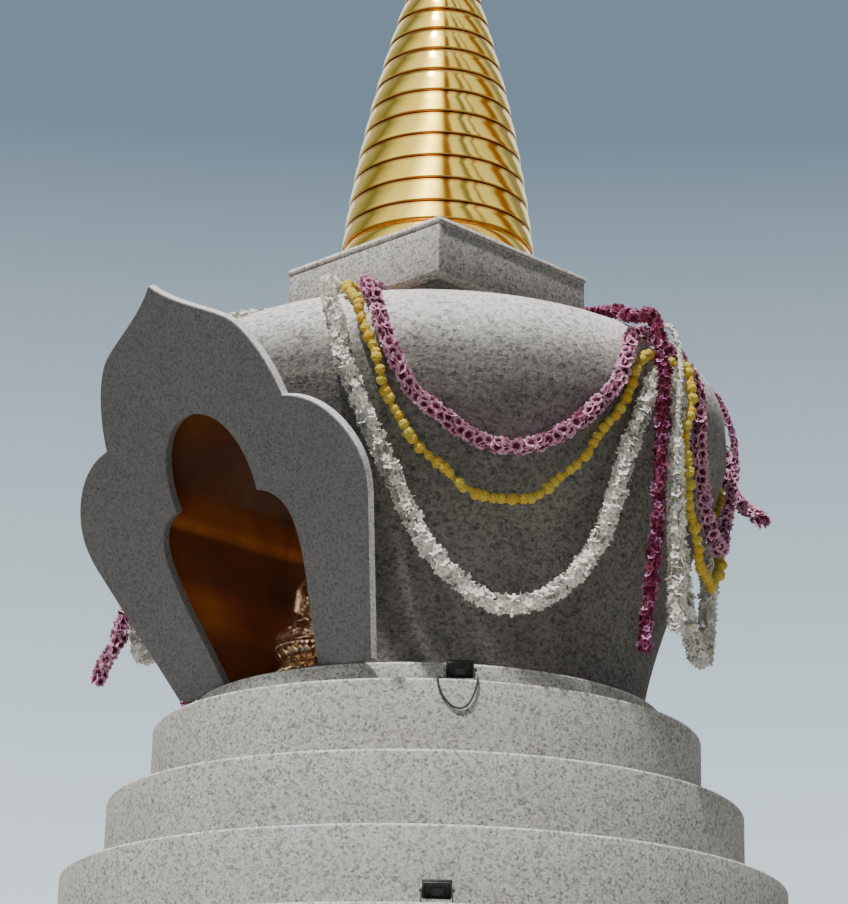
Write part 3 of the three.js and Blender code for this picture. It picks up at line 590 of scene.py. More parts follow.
def buildDome():
    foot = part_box("dome")[0].z
    whole = looseObject("dome_whole", turnedShape(domeProfile(foot), dome["steps"]))
    cutter = looseObject("dome_cutter", cabinetBlock(cabinet["footHalf"] + joint, cabinet["half"] + joint,
                                                     foot - 0.05, cabinet["back"] - joint))
    cut = whole.modifiers.new("pocket", "BOOLEAN")
    cut.operation = "DIFFERENCE"
    cut.solver = "EXACT"
    cut.object = cutter
    mesh = settled(whole)
    bpy.data.objects.remove(cutter)
    addPiece("dome_stone", mesh, domeStone, ["dome"])


cabinet = {"footHalf": 0.400, "half": 0.500, "spring": 0.640, "neck": 0.060, "back": 0.420,
           "wall": 0.085, "backWall": 0.050, "floor": 0.030, "archPoints": 40, "depth": 2.0}


def cabinetBlock(footHalf, half, floor, back):
    # Arched block that runs forward from a depth behind the axis plane
    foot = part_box("dome")[0].z
    spring = foot + cabinet["spring"]
    bm = bmesh.new()
    outline = [(-footHalf, floor), (footHalf, floor), (half, spring - cabinet["neck"])]
    for part in range(cabinet["archPoints"] + 1):
        angle = math.pi * part / cabinet["archPoints"]
        outline.append((half * math.cos(angle), spring + half * math.sin(angle)))
    outline.append((-half, spring - cabinet["neck"]))
    face = bm.faces.new([bm.verts.new((x, -back, z)) for x, z in outline])
    pushed = bmesh.ops.extrude_face_region(bm, geom=[face])
    moved = [v for v in pushed["geom"] if isinstance(v, bmesh.types.BMVert)]
    bmesh.ops.translate(bm, verts=moved, vec=(0, -cabinet["depth"], 0))
    bmesh.ops.recalc_face_normals(bm, faces=bm.faces)
    return bm


# Half outlines in mm from the slab's foot, up its middle: point, handle before, handle after
slab = {
    "lean": 27.1, "footOut": 0.912, "thickness": 0.038, "chamfer": 0.004,
    "outer": [
        [(559, -40), None, None], [(815, 605), None, (839.7, 665)], [(846, 770), (850, 720), (838, 880)],
        [(540, 1092), (745, 1055), (525, 1230)], [(345, 1472), (450, 1420), (240, 1535)],
        [(0, 1682), (90, 1590), (-90, 1590)],
    ],
    "opening": [
        [(265, -40), None, None], [(345, 300), None, (377.7, 420)], [(389, 590), (392.3, 516.7), (385, 690)],
        [(243, 761), (325, 745), (265, 940)], [(0, 1130), (175, 1130), (-175, 1130)],
    ],
}


def mirrored(knots):
    flip = lambda point: None if point is None else (-point[0], point[1])
    return [[flip(place), flip(after), flip(before)] for place, before, after in reversed(knots[:-1])]


def backwards(knots):
    return [[place, after, before] for place, before, after in reversed(knots)]


def slabCurve():
    outer = slab["outer"] + mirrored(slab["outer"])
    opening = slab["opening"] + mirrored(slab["opening"])
    knots = outer + backwards(opening)
    curve = bpy.data.curves.new("slab_outline", "CURVE")
    curve.dimensions = "2D"
    curve.fill_mode = "BOTH"
    curve.resolution_u = 20
    spline = curve.splines.new("BEZIER")
    spline.use_cyclic_u = True
    spline.bezier_points.add(len(knots) - 1)
    for knot, (place, before, after) in zip(spline.bezier_points, knots):
        knot.handle_left_type = knot.handle_right_type = "FREE"
        knot.co = (place[0] / 1000, place[1] / 1000, 0)
        for handle, point in (("handle_left", before), ("handle_right", after)):
            x, y = point or place
            setattr(knot, handle, (x / 1000, y / 1000, 0))
    return curve


def leanOut():
    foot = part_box("dome")[0].z
    tilt = Matrix.Rotation(math.radians(90 + slab["lean"]), 4, "X")
    return Matrix.Translation((0, -slab["footOut"], foot)) @ tilt


def buildSlab():
    holder = bpy.data.objects.new("slab_outline", slabCurve())
    bpy.context.scene.collection.objects.link(holder)
    mesh = settled(holder)
    bm = bmesh.new()
    bm.from_mesh(mesh)
    bmesh.ops.remove_doubles(bm, verts=bm.verts, dist=1e-5)
    bmesh.ops.dissolve_faces(bm, faces=bm.faces[:])
    for face in bm.faces:
        if face.normal.z < 0:
            face.normal_flip()
    front = bm.faces[:]
    pushed = bmesh.ops.extrude_face_region(bm, geom=front)
    lifted = [v for v in pushed["geom"] if isinstance(v, bmesh.types.BMVert)]
    bmesh.ops.translate(bm, verts=lifted, vec=(0, 0, slab["thickness"] - slab["chamfer"]))
    bmesh.ops.recalc_face_normals(bm, faces=bm.faces)
    top = [face for face in bm.faces if face.normal.z > 0.9]
    bmesh.ops.inset_region(bm, faces=top, thickness=slab["chamfer"], depth=slab["chamfer"], use_even_offset=True)
    bmesh.ops.translate(bm, verts=bm.verts, vec=(0, 0, -slab["thickness"]))
    bmesh.ops.transform(bm, matrix=leanOut(), verts=bm.verts)
    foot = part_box("niche_slab")[0].z
    cut = bmesh.ops.bisect_plane(bm, geom=bm.verts[:] + bm.edges[:] + bm.faces[:], plane_co=(0, 0, foot),
                                 plane_no=(0, 0, -1), clear_outer=True)
    bmesh.ops.holes_fill(bm, edges=[e for e in cut["geom_cut"] if isinstance(e, bmesh.types.BMEdge)])
    bmesh.ops.triangulate(bm, faces=[f for f in bm.faces if len(f.verts) > 4])
    bmesh.ops.recalc_face_normals(bm, faces=bm.faces)
    # The rims take the pale painted highlight; the face keeps the darker painted shade
    slope = math.radians(slab["lean"])
    out = Vector((0, -math.cos(slope), -math.sin(slope)))
    layer = paintedHighlightLayer(bm)
    place = leanOut()
    for face in bm.faces:
        middle = place.inverted() @ face.calc_center_median()
        rim = abs(middle.x) > 0.40 or middle.y > 1.15
        face[layer] = 1.0 if rim and abs(face.normal.dot(out)) < 0.3 else 0.0
    addPiece("niche_slab_stone", bm, slabStone, ["niche_slab"])


def buildCabinet():
    bm = mergedCopy("niche_cabinet")
    innerHalf = cabinet["half"] - cabinet["wall"] + 0.002
    lining = []
    for face in bm.faces:
        middle = face.calc_center_median()
        forward = middle.y < -cabinet["back"] - cabinet["backWall"] + 0.001
        towardRoom = face.normal.dot(Vector((0, -0.75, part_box("dome")[0].z + 0.5)) - middle) > 0
        if abs(middle.x) < innerHalf and forward and towardRoom and abs(face.normal.z) < 1.1:
            lining.append(face)
    room = bm.copy()
    wanted = {face.index for face in lining}
    room.faces.ensure_lookup_table()
    spare = [face for face in room.faces if face.index not in wanted]
    bmesh.ops.delete(room, geom=spare, context="FACES")
    slope = math.radians(slab["lean"])
    slant = Vector((0, -math.cos(slope), -math.sin(slope)))
    keep = [face for face in room.faces if face.normal.dot(slant) < 0.9 or face.calc_center_median().y > -0.6]
    bmesh.ops.delete(room, geom=[face for face in room.faces if face not in keep], context="FACES")
    bmesh.ops.solidify(room, geom=room.faces[:], thickness=-0.003)
    bmesh.ops.recalc_face_normals(room, faces=room.faces)
    soften(bm, 0.003, 1, 50)
    addPiece("niche_cabinet_stone", bm, slabStone, ["niche_cabinet"])
    addPiece("niche_lining", room, liningMaterial())


def liningMaterial():
    material, tree, shader = newMaterial("amberLining", Roughness=0.38)
    place = objectPlace(tree)
    cloud = addNode(tree, "TexNoise", {"Vector": place, "Scale": 3.0, "Detail": 3.0}).outputs[0]
    tone = colourRamp(tree, cloud, [(0.3, (0.26, 0.055, 0.010)), (0.5, (0.52, 0.13, 0.020)), (0.72, (0.80, 0.27, 0.04))])
    # A narrow painted reflection band with a broad soft one over it, both lower toward the right, and one more near the
    # foot; the top is painted darker as painted shade
    across, _, up = addNode(tree, "SeparateXYZ", {0: place}).outputs
    slanted = addNode(tree, "Math", {0: across, 1: 0.28, 2: up}, operation="MULTIPLY_ADD").outputs[0]
    share = addNode(tree, "MapRange", {0: slanted, 1: 4.50, 2: 5.20}).outputs[0]
    paintedReflection = colourRamp(tree, share, [(0.04, grey(0.7)), (0.16, (1.5, 1.4, 1.2)), (0.28, (1.5, 1.4, 1.2)),
                                    (0.40, grey(0.65)), (0.67, grey(0.6)), (0.70, (2.6, 3.4, 3.4)),
                                    (0.735, (2.8, 3.8, 3.8)), (0.78, grey(1.6)), (0.86, grey(1.0)), (0.95, grey(0.35))])
    side = addNode(tree, "MapRange", {0: across, 1: -0.35, 2: 0.35}).outputs[0]
    paintedReflection = mixColour(tree, "MULTIPLY", 1.0, paintedReflection, colourRamp(tree, side, [(0.1, grey(0.75)), (0.9, grey(1.3))]))
    tone = mixColour(tree, "MULTIPLY", 1.0, tone, paintedReflection)
    tree.links.new(tone, shader.inputs["Base Color"])
    folds = addNode(tree, "TexNoise", {"Vector": objectPlace(tree, (9, 9, 1.2)), "Scale": 1.0, "Detail": 2.0})
    tree.links.new(bumpFrom(tree, folds.outputs[0], 0.6, 0.02), shader.inputs["Normal"])
    return material


def glassMaterial():
    material, tree, shader = newMaterial("amberGlass", Base_Color=(0.10, 0.028, 0.006, 1), Roughness=0.05,
                                         Alpha=0.16, IOR=1.5, Specular_IOR_Level=0.15)
    ripple = addNode(tree, "TexNoise", {"Vector": objectPlace(tree), "Scale": 5.0}).outputs[0]
    tree.links.new(bumpFrom(tree, ripple, 0.2, 0.004), shader.inputs["Normal"])
    return material


def buildNiche():
    buildSlab()
    buildCabinet()
    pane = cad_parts["niche_glass"]
    pane.data.materials.clear()
    pane.data.materials.append(glassMaterial())


harmika = {"edge": 0.007, "coverEdge": 0.011}


def buildHarmika():
    for node in ("harmika_neck_lower", "harmika_neck_upper", "harmika_block", "harmika_cover_slab"):
        low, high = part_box(node)
        bm = bmesh.new()
        addBox(bm, low, high)
        soften(bm, harmika["coverEdge"] if "cover" in node else harmika["edge"], 2, paintedHighlight="cover" in node)
        if "cover" in node:
            # Its rim all round takes the pale painted highlight
            for face in bm.faces:
                face[paintedHighlightLayer(bm)] = 1.0 if face.normal.z > -0.1 else 0.0
        addPiece(node + "_stone", bm, neckStone if "neck" in node else harmikaStone, [node])


buildCourses()
buildThrone()
buildRoundSteps()
print("steps and throne made")
buildDome()
buildNiche()
buildHarmika()
print("dome, niche and harmika made")

# Gold


def goldMaterial(name, look):
    material, tree, shader = newMaterial(name, Metallic=1.0)
    place = objectPlace(tree)
    tarnish = addNode(tree, "TexNoise", {"Vector": place, "Scale": look["tarnishScale"], "Detail": 5.0}).outputs[0]
    tone = colourRamp(tree, tarnish, [(0.3, look["deep"]), (0.6, look["bright"])])
    seam = addNode(tree, "Attribute", attribute_name="seam").outputs["Fac"]
    tone = mixColour(tree, "MIX", seam, tone, (*look["copper"], 1))
    tree.links.new(tone, shader.inputs["Base Color"])
    dull = addNode(tree, "MapRange", {0: tarnish, 1: 0.3, 2: 0.7, 3: look["rough"], 4: look["smooth"]}).outputs[0]
    tree.links.new(dull, shader.inputs["Roughness"])
    wave = addNode(tree, "TexNoise", {"Vector": place, "Scale": look["waveScale"], "Detail": 1.0}).outputs[0]
    tree.links.new(bumpFrom(tree, wave, 0.5, look["wave"]), shader.inputs["Normal"])
    return material


goldLooks = {
    "spire": {"bright": (1.0, 0.77, 0.15), "deep": (0.98, 0.64, 0.09), "copper": (0.42, 0.19, 0.05),
              "tarnishScale": 9.0, "rough": 0.13, "smooth": 0.07, "waveScale": 6.0, "wave": 0.004},
    "statue": {"bright": (0.84, 0.62, 0.42), "deep": (0.20, 0.11, 0.06), "copper": (0.3, 0.1, 0.03),
               "tarnishScale": 48.0, "rough": 0.42, "smooth": 0.24, "waveScale": 60.0, "wave": 0.001},
}
spireGold = goldMaterial("spireGold", goldLooks["spire"])
statueGold = goldMaterial("statueGold", goldLooks["statue"])

spire = {"rings": 13, "groove": 0.006, "lap": 0.013, "belly": 0.003, "points": 8, "steps": 128}


def markSeams(bm, isSeam):
    layer = bm.verts.layers.float.new("seam")
    for vert in bm.verts:
        vert[layer] = isSeam(vert.co)


def buildSpire():
    low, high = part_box("spire_lip")
    rise = high.z - low.z
    lip = [(0, low.z), (high.x - 0.014, low.z), (high.x - 0.004, low.z + 0.004), (high.x, low.z + 0.014),
           (high.x - 0.001, low.z + 0.03), (high.x - 0.006, low.z + rise * 0.6), (high.x - 0.016, high.z - 0.012),
           (high.x - 0.024, high.z), (0, high.z)]
    bm = turnedShape(lip, spire["steps"])
    markSeams(bm, lambda co: 0.0)
    addPiece("spire_lip_sheet", bm, spireGold, ["spire_lip"])
    boxes = [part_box(f"spire_ring_{ring:02d}") for ring in range(1, spire["rings"] + 1)]
    for ring, (low, high) in enumerate(boxes, 1):
        foot = high.x
        # The head of each ring is as wide as the foot of the next
        head = boxes[ring][1].x if ring < spire["rings"] else foot - 0.034
        rise = high.z - low.z
        lap, groove = spire["lap"], spire["groove"]
        points = [(0, low.z), (foot - groove - 0.003, low.z), (foot - 0.003, low.z + 0.003), (foot, low.z + lap * 0.7)]
        for part in range(1, spire["points"]):
            t = part / spire["points"]
            bulge = spire["belly"] * math.sin(math.pi * t)
            points.append((foot + (head - foot) * t + bulge, low.z + lap + (rise - 2 * lap) * t))
        points += [(head, high.z - lap * 0.6), (head - groove, high.z - 0.002), (head - groove - 0.002, high.z),
                   (0, high.z)]
        bm = turnedShape(points, spire["steps"])
        markSeams(bm, lambda co: 1.0 if min(co.z - low.z, high.z - co.z) < lap * 0.65 else 0.0)
        addPiece(f"spire_ring_{ring:02d}_sheet", bm, spireGold, [f"spire_ring_{ring:02d}"])


finial = {"valance": 0.022, "scallops": 28, "moonEdge": 0.006, "steps": 96}


def buildFinial():
    low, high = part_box("parasol")
    rim = high.x
    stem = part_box("spire_ring_13")[1].x - 0.06
    rise = high.z - low.z
    profile = [(0, low.z), (stem, low.z), (stem, low.z + 0.120), (rim - 0.024, low.z + 0.120), (rim - 0.024, low.z + 0.030),
               (rim - 0.020, low.z + 0.024), (rim - 0.003, low.z + 0.024), (rim, low.z + 0.030), (rim, low.z + 0.050),
               (rim - 0.006, low.z + 0.056), (rim - 0.006, low.z + 0.108), (rim, low.z + 0.114), (rim - 0.002, low.z + 0.132)]
    for part in range(1, 12):
        angle = part / 12 * math.pi / 2
        profile.append((0.052 + (rim - 0.054) * math.cos(angle) ** 1.1, low.z + 0.132 + (rise - 0.150) * math.sin(angle)))
    profile += [(0.052, high.z - 0.016), (0.060, high.z - 0.008), (0.054, high.z), (0, high.z)]
    bm = turnedShape(profile, finial["steps"])
    markSeams(bm, lambda co: 0.0)
    addPiece("parasol_sheet", bm, spireGold, ["parasol"])
    beads = bmesh.new()
    for bead in range(finial["scallops"]):
        angle = 2 * math.pi * bead / finial["scallops"]
        middle = ((rim - 0.010) * math.cos(angle), (rim - 0.010) * math.sin(angle), low.z + 0.082)
        addBall(beads, (0.013, 0.013, 0.022), middle, 2)
    markSeams(beads, lambda co: 0.0)
    addPiece("parasol_beads", beads, spireGold)
    moon = mergedCopy("crescent_moon")
    soften(moon, finial["moonEdge"], 2, 40)
    markSeams(moon, lambda co: 0.0)
    addPiece("crescent_moon_sheet", moon, spireGold, ["crescent_moon"])
    low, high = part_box("sun_disc")
    sun = bmesh.new()
    bmesh.ops.create_uvsphere(sun, u_segments=48, v_segments=24, radius=1,
                              matrix=Matrix.Translation((low + high) / 2) @ Matrix.Diagonal((*((high - low) / 2), 1)))
    markSeams(sun, lambda co: 0.0)
    addPiece("sun_disc_sheet", sun, spireGold, ["sun_disc"])
    low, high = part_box("jewel")
    wide = high.x
    tall = high.z - low.z
    drop = [(0, low.z), (wide * 0.45, low.z), (wide * 0.5, low.z + 0.016)]
    for part in range(1, 17):
        t = part / 17
        drop.append((wide * (0.5 + 0.5 * math.sin(math.pi * min(t * 1.9, 1) ** 0.8 / 2)) * (1 - t ** 2.2) ** 0.9,
                     low.z + 0.016 + (tall - 0.016) * t))
    bm = turnedShape(drop + [(0, high.z)], 48)
    markSeams(bm, lambda co: 0.0)
    addPiece("jewel_sheet", bm, spireGold, ["jewel"])


buildSpire()
buildFinial()
print("spire and finial made")

# Statue

statue = {"back": 0.672, "figureUp": 0.1503, "petals": 16, "beads": 48, "bodyGrain": 0.0042, "headGrain": 0.0022,
          "curl": 0.0056, "curls": 230, "foldDepth": 0.0016, "foldGap": 0.017}


def melted(bm, grain, passes):
    # One smooth skin over shapes that overlap
    rough = looseObject("melted", bm)
    skin = rough.modifiers.new("skin", "REMESH")
    skin.mode = "VOXEL"
    skin.voxel_size = grain
    mesh = settled(rough)
    out = bmesh.new()
    out.from_mesh(mesh)
    bpy.data.meshes.remove(mesh)
    for _ in range(passes):
        bmesh.ops.smooth_vert(out, verts=out.verts, factor=0.5, use_axis_x=True, use_axis_y=True, use_axis_z=True)
    return out


def addLimb(bm, points, radii, parts=9):
    for start, end, first, last in zip(points, points[1:], radii, radii[1:]):
        for part in range(parts + 1):
            t = part / parts
            radius = first * (1 - t) + last * t
            addBall(bm, (radius, radius, radius), Vector(start).lerp(Vector(end), t), 2)


def addPetal(bm, size, outward, height, tilt, azimuth):
    verts = bmesh.ops.create_icosphere(bm, subdivisions=3, radius=1)["verts"]
    width, thick, length = size
    for vert in verts:
        x, y, z = vert.co
        narrow = 1 - 0.75 * max(z, 0) ** 2
        vert.co = (x * width * narrow, y * thick + 0.35 * thick * z * z - 0.5 * thick * abs(x), z * length)
    place = Matrix.Rotation(azimuth, 4, "Z") @ Matrix.Translation((0, -outward, height))
    bmesh.ops.transform(bm, matrix=place @ Matrix.Rotation(tilt, 4, "X"), verts=verts)


def buildLotusBase(place):
    plinth = [(0, 0), (0.172, 0), (0.177, 0.004), (0.177, 0.013), (0.170, 0.018), (0.150, 0.022), (0.128, 0.060),
              (0.120, 0.074), (0.128, 0.088), (0.150, 0.120), (0.158, 0.130), (0.162, 0.134), (0.162, 0.144),
              (0.156, 0.1498), (0, 0.1498)]
    bm = turnedShape(plinth, 96)
    for petal in range(statue["petals"]):
        turn = 2 * math.pi * petal / statue["petals"]
        half = math.pi / statue["petals"]
        addPetal(bm, (0.029, 0.010, 0.033), 0.148, 0.046, math.radians(138), turn)
        addPetal(bm, (0.022, 0.008, 0.030), 0.140, 0.050, math.radians(130), turn + half)
        addPetal(bm, (0.029, 0.010, 0.032), 0.146, 0.100, math.radians(36), turn + half)
        addPetal(bm, (0.022, 0.008, 0.030), 0.138, 0.104, math.radians(42), turn)
    for bead in range(statue["beads"]):
        turn = 2 * math.pi * bead / statue["beads"]
        addBall(bm, (0.0062,) * 3, (0.163 * math.sin(turn), -0.163 * math.cos(turn), 0.139), 2)
        addBall(bm, (0.0052,) * 3, (0.124 * math.sin(turn), -0.124 * math.cos(turn), 0.074), 2)
    markSeams(bm, lambda co: 0.0)
    bmesh.ops.translate(bm, verts=bm.verts, vec=place)
    addPiece("statue_lotus_petals", bm, statueGold, ["statue_lotus_base"])


def figureBody():
    bm = bmesh.new()
    addBall(bm, (0.092, 0.066, 0.130), (0, 0.022, 0.158), 4)
    addBall(bm, (0.104, 0.056, 0.060), (0, 0.022, 0.258), 4)
    addBall(bm, (0.120, 0.080, 0.052), (0, 0.000, 0.052), 4)
    addBall(bm, (0.150, 0.078, 0.030), (0, -0.030, 0.030), 4)
    for side in (-1, 1):
        addLimb(bm, [(side * 0.040, 0.000, 0.056), (side * 0.134, -0.048, 0.046)], [0.050, 0.044])
        addLimb(bm, [(side * 0.134, -0.050, 0.044), (side * -0.030, -0.084, 0.050 + 0.006 * side)], [0.042, 0.024])
        addBall(bm, (0.034, 0.017, 0.013), (side * -0.068, -0.080, 0.082 - 0.004 * side), 3)
        addLimb(bm, [(side * 0.090, 0.024, 0.292), (side * 0.112, 0.016, 0.262), (side * 0.126, 0.004, 0.160)],
                [0.030, 0.034, 0.026])
        addLimb(bm, [(side * 0.126, 0.004, 0.158), (side * 0.092, -0.052, 0.112), (side * 0.034, -0.080, 0.100)],
                [0.026, 0.020, 0.014])
        for finger in range(4):
            y = -0.074 - finger * 0.0075
            z = 0.103 + 0.004 * (side > 0) - finger * 0.0012
            addLimb(bm, [(side * 0.030, y, z), (side * -0.018, y - 0.002, z - 0.001)], [0.0056, 0.0044], 6)
        addLimb(bm, [(side * 0.026, -0.078, 0.108), (side * 0.002, -0.082, 0.120)], [0.006, 0.0044], 5)
    addLimb(bm, [(0, 0.020, 0.290), (0, 0.016, 0.360)], [0.040, 0.030])
    # Robe edge from one shoulder across the chest, and the cloth over the lap
    addLimb(bm, [(0.066, -0.012, 0.310), (0.040, -0.036, 0.262), (-0.010, -0.047, 0.208), (-0.064, -0.036, 0.152)],
            [0.007, 0.008, 0.008, 0.008])
    addLimb(bm, [(0.060, 0.010, 0.318), (0.052, 0.060, 0.300), (0.020, 0.082, 0.220)], [0.010, 0.009, 0.008])
    addBall(bm, (0.052, 0.034, 0.012), (0, -0.092, 0.018), 3)
    return melted(bm, statue["bodyGrain"], 3)


def foldRobe(bm):
    # Fine folds that run from the covered shoulder, and level ones over the legs
    centre = Vector((0.090, 0.020, 0.330))
    for vert in bm.verts:
        x, y, z = vert.co
        if z < 0.085:
            wave = math.sin(2 * math.pi * (z + 0.35 * abs(x)) / statue["foldGap"])
        elif (z < 0.305 - 1.1 * (0.06 - x) or x > 0.065) and z < 0.315:
            wave = math.sin(2 * math.pi * (vert.co - centre).length / statue["foldGap"])
        else:
            continue
        vert.co += vert.normal * statue["foldDepth"] * wave


def figureHead():
    bm = bmesh.new()
    addBall(bm, (0.050, 0.056, 0.060), (0, 0.018, 0.412), 4)
    addBall(bm, (0.043, 0.047, 0.048), (0, 0.004, 0.386), 4)
    addBall(bm, (0.029, 0.028, 0.026), (0, -0.010, 0.362), 4)
    addBall(bm, (0.014, 0.012, 0.010), (0, -0.030, 0.350), 3)
    addLimb(bm, [(0, 0.018, 0.330), (0, 0.016, 0.380)], [0.030, 0.030])
    addLimb(bm, [(0, -0.036, 0.412), (0, -0.046, 0.390)], [0.0048, 0.0066])
    addBall(bm, (0.0088, 0.0075, 0.0056), (0, -0.046, 0.387), 3)
    addBall(bm, (0.0135, 0.0060, 0.0030), (0, -0.0395, 0.3735), 3)
    addBall(bm, (0.0110, 0.0062, 0.0034), (0, -0.0385, 0.3688), 3)
    for side in (-1, 1):
        addBall(bm, (0.017, 0.014, 0.018), (side * 0.022, -0.022, 0.383), 3)
        addBall(bm, (0.0125, 0.0070, 0.0052), (side * 0.0195, -0.0345, 0.4015), 3)
        addLimb(bm, [(side * 0.006, -0.0385, 0.412), (side * 0.020, -0.0370, 0.4175), (side * 0.036, -0.024, 0.411)],
                [0.0026, 0.0030, 0.0022], 8)
        addLimb(bm, [(side * 0.050, 0.016, 0.416), (side * 0.054, 0.012, 0.392), (side * 0.050, 0.008, 0.352)],
                [0.0060, 0.0075, 0.0068])
    addBall(bm, (0.029, 0.031, 0.026), (0, 0.022, 0.470), 4)
    return melted(bm, statue["headGrain"], 2)


def addCurls(bm):
    golden = math.pi * (3 - math.sqrt(5))
    for curl in range(statue["curls"]):
        height = 1 - 2 * (curl + 0.5) / statue["curls"]
        ring = math.sqrt(1 - height * height)
        way = Vector((ring * math.cos(golden * curl), ring * math.sin(golden * curl), height))
        front = way.y < 0.12
        if height > -0.35 and not (front and height < 0.55 - 0.25 * way.y):
            addBall(bm, (statue["curl"],) * 3, Vector((0, 0.018, 0.412)) + Vector((way.x * 0.051, way.y * 0.057,
                                                                                      way.z * 0.060)), 1)
        if height > 0.05 and curl % 3 == 0:
            addBall(bm, (statue["curl"] * 0.9,) * 3, Vector((0, 0.022, 0.470)) + Vector((
                way.x * 0.029, way.y * 0.031, way.z * 0.026)), 1)
    addLimb(bm, [(0, 0.022, 0.494), (0, 0.022, 0.515)], [0.0085, 0.0035], 6)


def buildStatue():
    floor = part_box("statue_lotus_base")[0].z
    buildLotusBase(Vector((0, -statue["back"], floor)))
    bm = figureBody()
    bm.normal_update()
    foldRobe(bm)
    foot = bmesh.ops.bisect_plane(bm, geom=bm.verts[:] + bm.edges[:] + bm.faces[:], plane_co=(0, 0, 0.0005),
                                  plane_no=(0, 0, -1), clear_outer=True)
    bmesh.ops.holes_fill(bm, edges=[e for e in foot["geom_cut"] if isinstance(e, bmesh.types.BMEdge)])
    bmesh.ops.triangulate(bm, faces=[face for face in bm.faces if len(face.verts) > 4])
    head = figureHead()
    addCurls(head)
    headMesh = bpy.data.meshes.new("head")
    head.to_mesh(headMesh)
    head.free()
    bm.from_mesh(headMesh)
    bpy.data.meshes.remove(headMesh)
    markSeams(bm, lambda co: 0.0)
    bmesh.ops.translate(bm, verts=bm.verts, vec=(0, -statue["back"], floor + statue["figureUp"]))
    addPiece("statue_figure_robed", bm, statueGold, ["statue_figure"], 50)


buildStatue()
print("statue made")

# Lamps

lamps = {"size": (0.110, 0.036, 0.074), "tilt": 38, "bar": (0.150, 0.030, 0.005), "earRise": 0.062, "earWidth": 0.020,
         "fins": 11, "finThickness": 0.0022, "screw": 0.0042, "pivot": 0.0062}
lampPlaces = {"upper_lamp": (0.115, 1.092, 4.3073), "lower_lamp": (0.035, 1.640, 3.3413)}


def lampMaterial():
    material, tree, shader = newMaterial("lampCoat")
    place = objectPlace(tree)
    pane = addNode(tree, "Attribute", attribute_name="pane").outputs["Fac"]
    dust = addNode(tree, "TexNoise", {"Vector": place, "Scale": 60.0, "Detail": 4.0}).outputs[0]
    coat = colourRamp(tree, dust, [(0.4, (0.012, 0.012, 0.013)), (0.7, (0.035, 0.034, 0.032))])
    tree.links.new(mixColour(tree, "MIX", pane, coat, (0.16, 0.16, 0.13, 1)), shader.inputs["Base Color"])
    gloss = addNode(tree, "MapRange", {0: pane, 3: 0.42, 4: 0.06}).outputs[0]
    tree.links.new(gloss, shader.inputs["Roughness"])
    grain = addNode(tree, "TexNoise", {"Vector": place, "Scale": 1400.0}).outputs[0]
    tree.links.new(bumpFrom(tree, grain, 0.5, 0.0003), shader.inputs["Normal"])
    return material


def markPane(bm, isPane):
    layer = bm.verts.layers.float.new("pane")
    for vert in bm.verts:
        vert[layer] = 1.0 if isPane(vert.co) else 0.0


def buildLamp(name, place, coat):
    aside, outward, ledge = place
    turn = math.radians(lampFoot["azimuth"])
    foot = Vector((outward * math.sin(turn) + aside * math.cos(turn), -outward * math.cos(turn) + aside * math.sin(turn),
                   ledge))
    stand = Matrix.Translation(foot) @ Matrix.Rotation(turn, 4, "Z")
    wide, deep, tall = (value / 2 for value in lamps["size"])
    bm = bmesh.new()
    addBox(bm, (-wide + 0.003, -0.004, -tall + 0.003), (wide - 0.003, 0.009, tall - 0.003))
    bezel = addBox(bm, (-wide, 0.008, -tall), (wide, deep, tall))
    soften(bm, 0.0022, 2)
    front = [face for face in bm.faces if face.normal.y > 0.99 and face.calc_center_median().y > deep - 0.001]
    bmesh.ops.inset_individual(bm, faces=front, thickness=0.0055, depth=0)
    bmesh.ops.inset_individual(bm, faces=front, thickness=0.0010, depth=-0.0022)
    for fin in range(lamps["fins"]):
        x = (wide - 0.007) * (2 * fin / (lamps["fins"] - 1) - 1)
        half = lamps["finThickness"] / 2
        addBox(bm, (x - half, -deep, -tall + 0.007), (x + half, -0.003, tall - 0.007))
    addBox(bm, (-0.017, -deep + 0.003, -0.013), (0.017, -0.003, 0.013))
    markPane(bm, lambda co: abs(co.y - (deep - 0.0022)) < 0.0003 and abs(co.x) < wide - 0.004 and abs(co.z) < tall - 0.004)
    lean = Matrix.Translation((0, 0, lamps["earRise"] - lamps["earWidth"] / 2)) @ Matrix.Rotation(
        math.radians(lamps["tilt"]), 4, "X")
    bmesh.ops.transform(bm, matrix=stand @ lean, verts=bm.verts)
    addPiece(name + "_case_finned", bm, coat, [name + "_case"])
    bm = bmesh.new()
    barWide, barDeep, barTall = lamps["bar"]
    addBox(bm, (-barWide / 2, -barDeep / 2, 0), (barWide / 2, barDeep / 2, barTall))
    for side in (-1, 1):
        inner, outer = sorted((side * (wide + 0.0003), side * (wide + 0.0053)))
        half = lamps["earWidth"] / 2
        addBox(bm, (inner, -half, 0.002), (outer, half, lamps["earRise"] - half))
        addRod(bm, half, (inner, 0, lamps["earRise"] - half), (outer, 0, lamps["earRise"] - half), 24)
        middle = side * (wide + 0.0053)
        addRod(bm, lamps["pivot"], (middle, 0, lamps["earRise"] - half), (middle + side * 0.005, 0,
                                                                         lamps["earRise"] - half), 6)
        addRod(bm, lamps["screw"], (side * 0.0685, 0, barTall), (side * 0.0685, 0, barTall + 0.0026), 12)
    soften(bm, 0.0006, 1, 50)
    markPane(bm, lambda co: False)
    bmesh.ops.transform(bm, matrix=stand, verts=bm.verts)
    addPiece(name + "_bracket_bent", bm, coat, [name + "_bracket"])


cable = {"diameter": 0.008, "sides": 3}


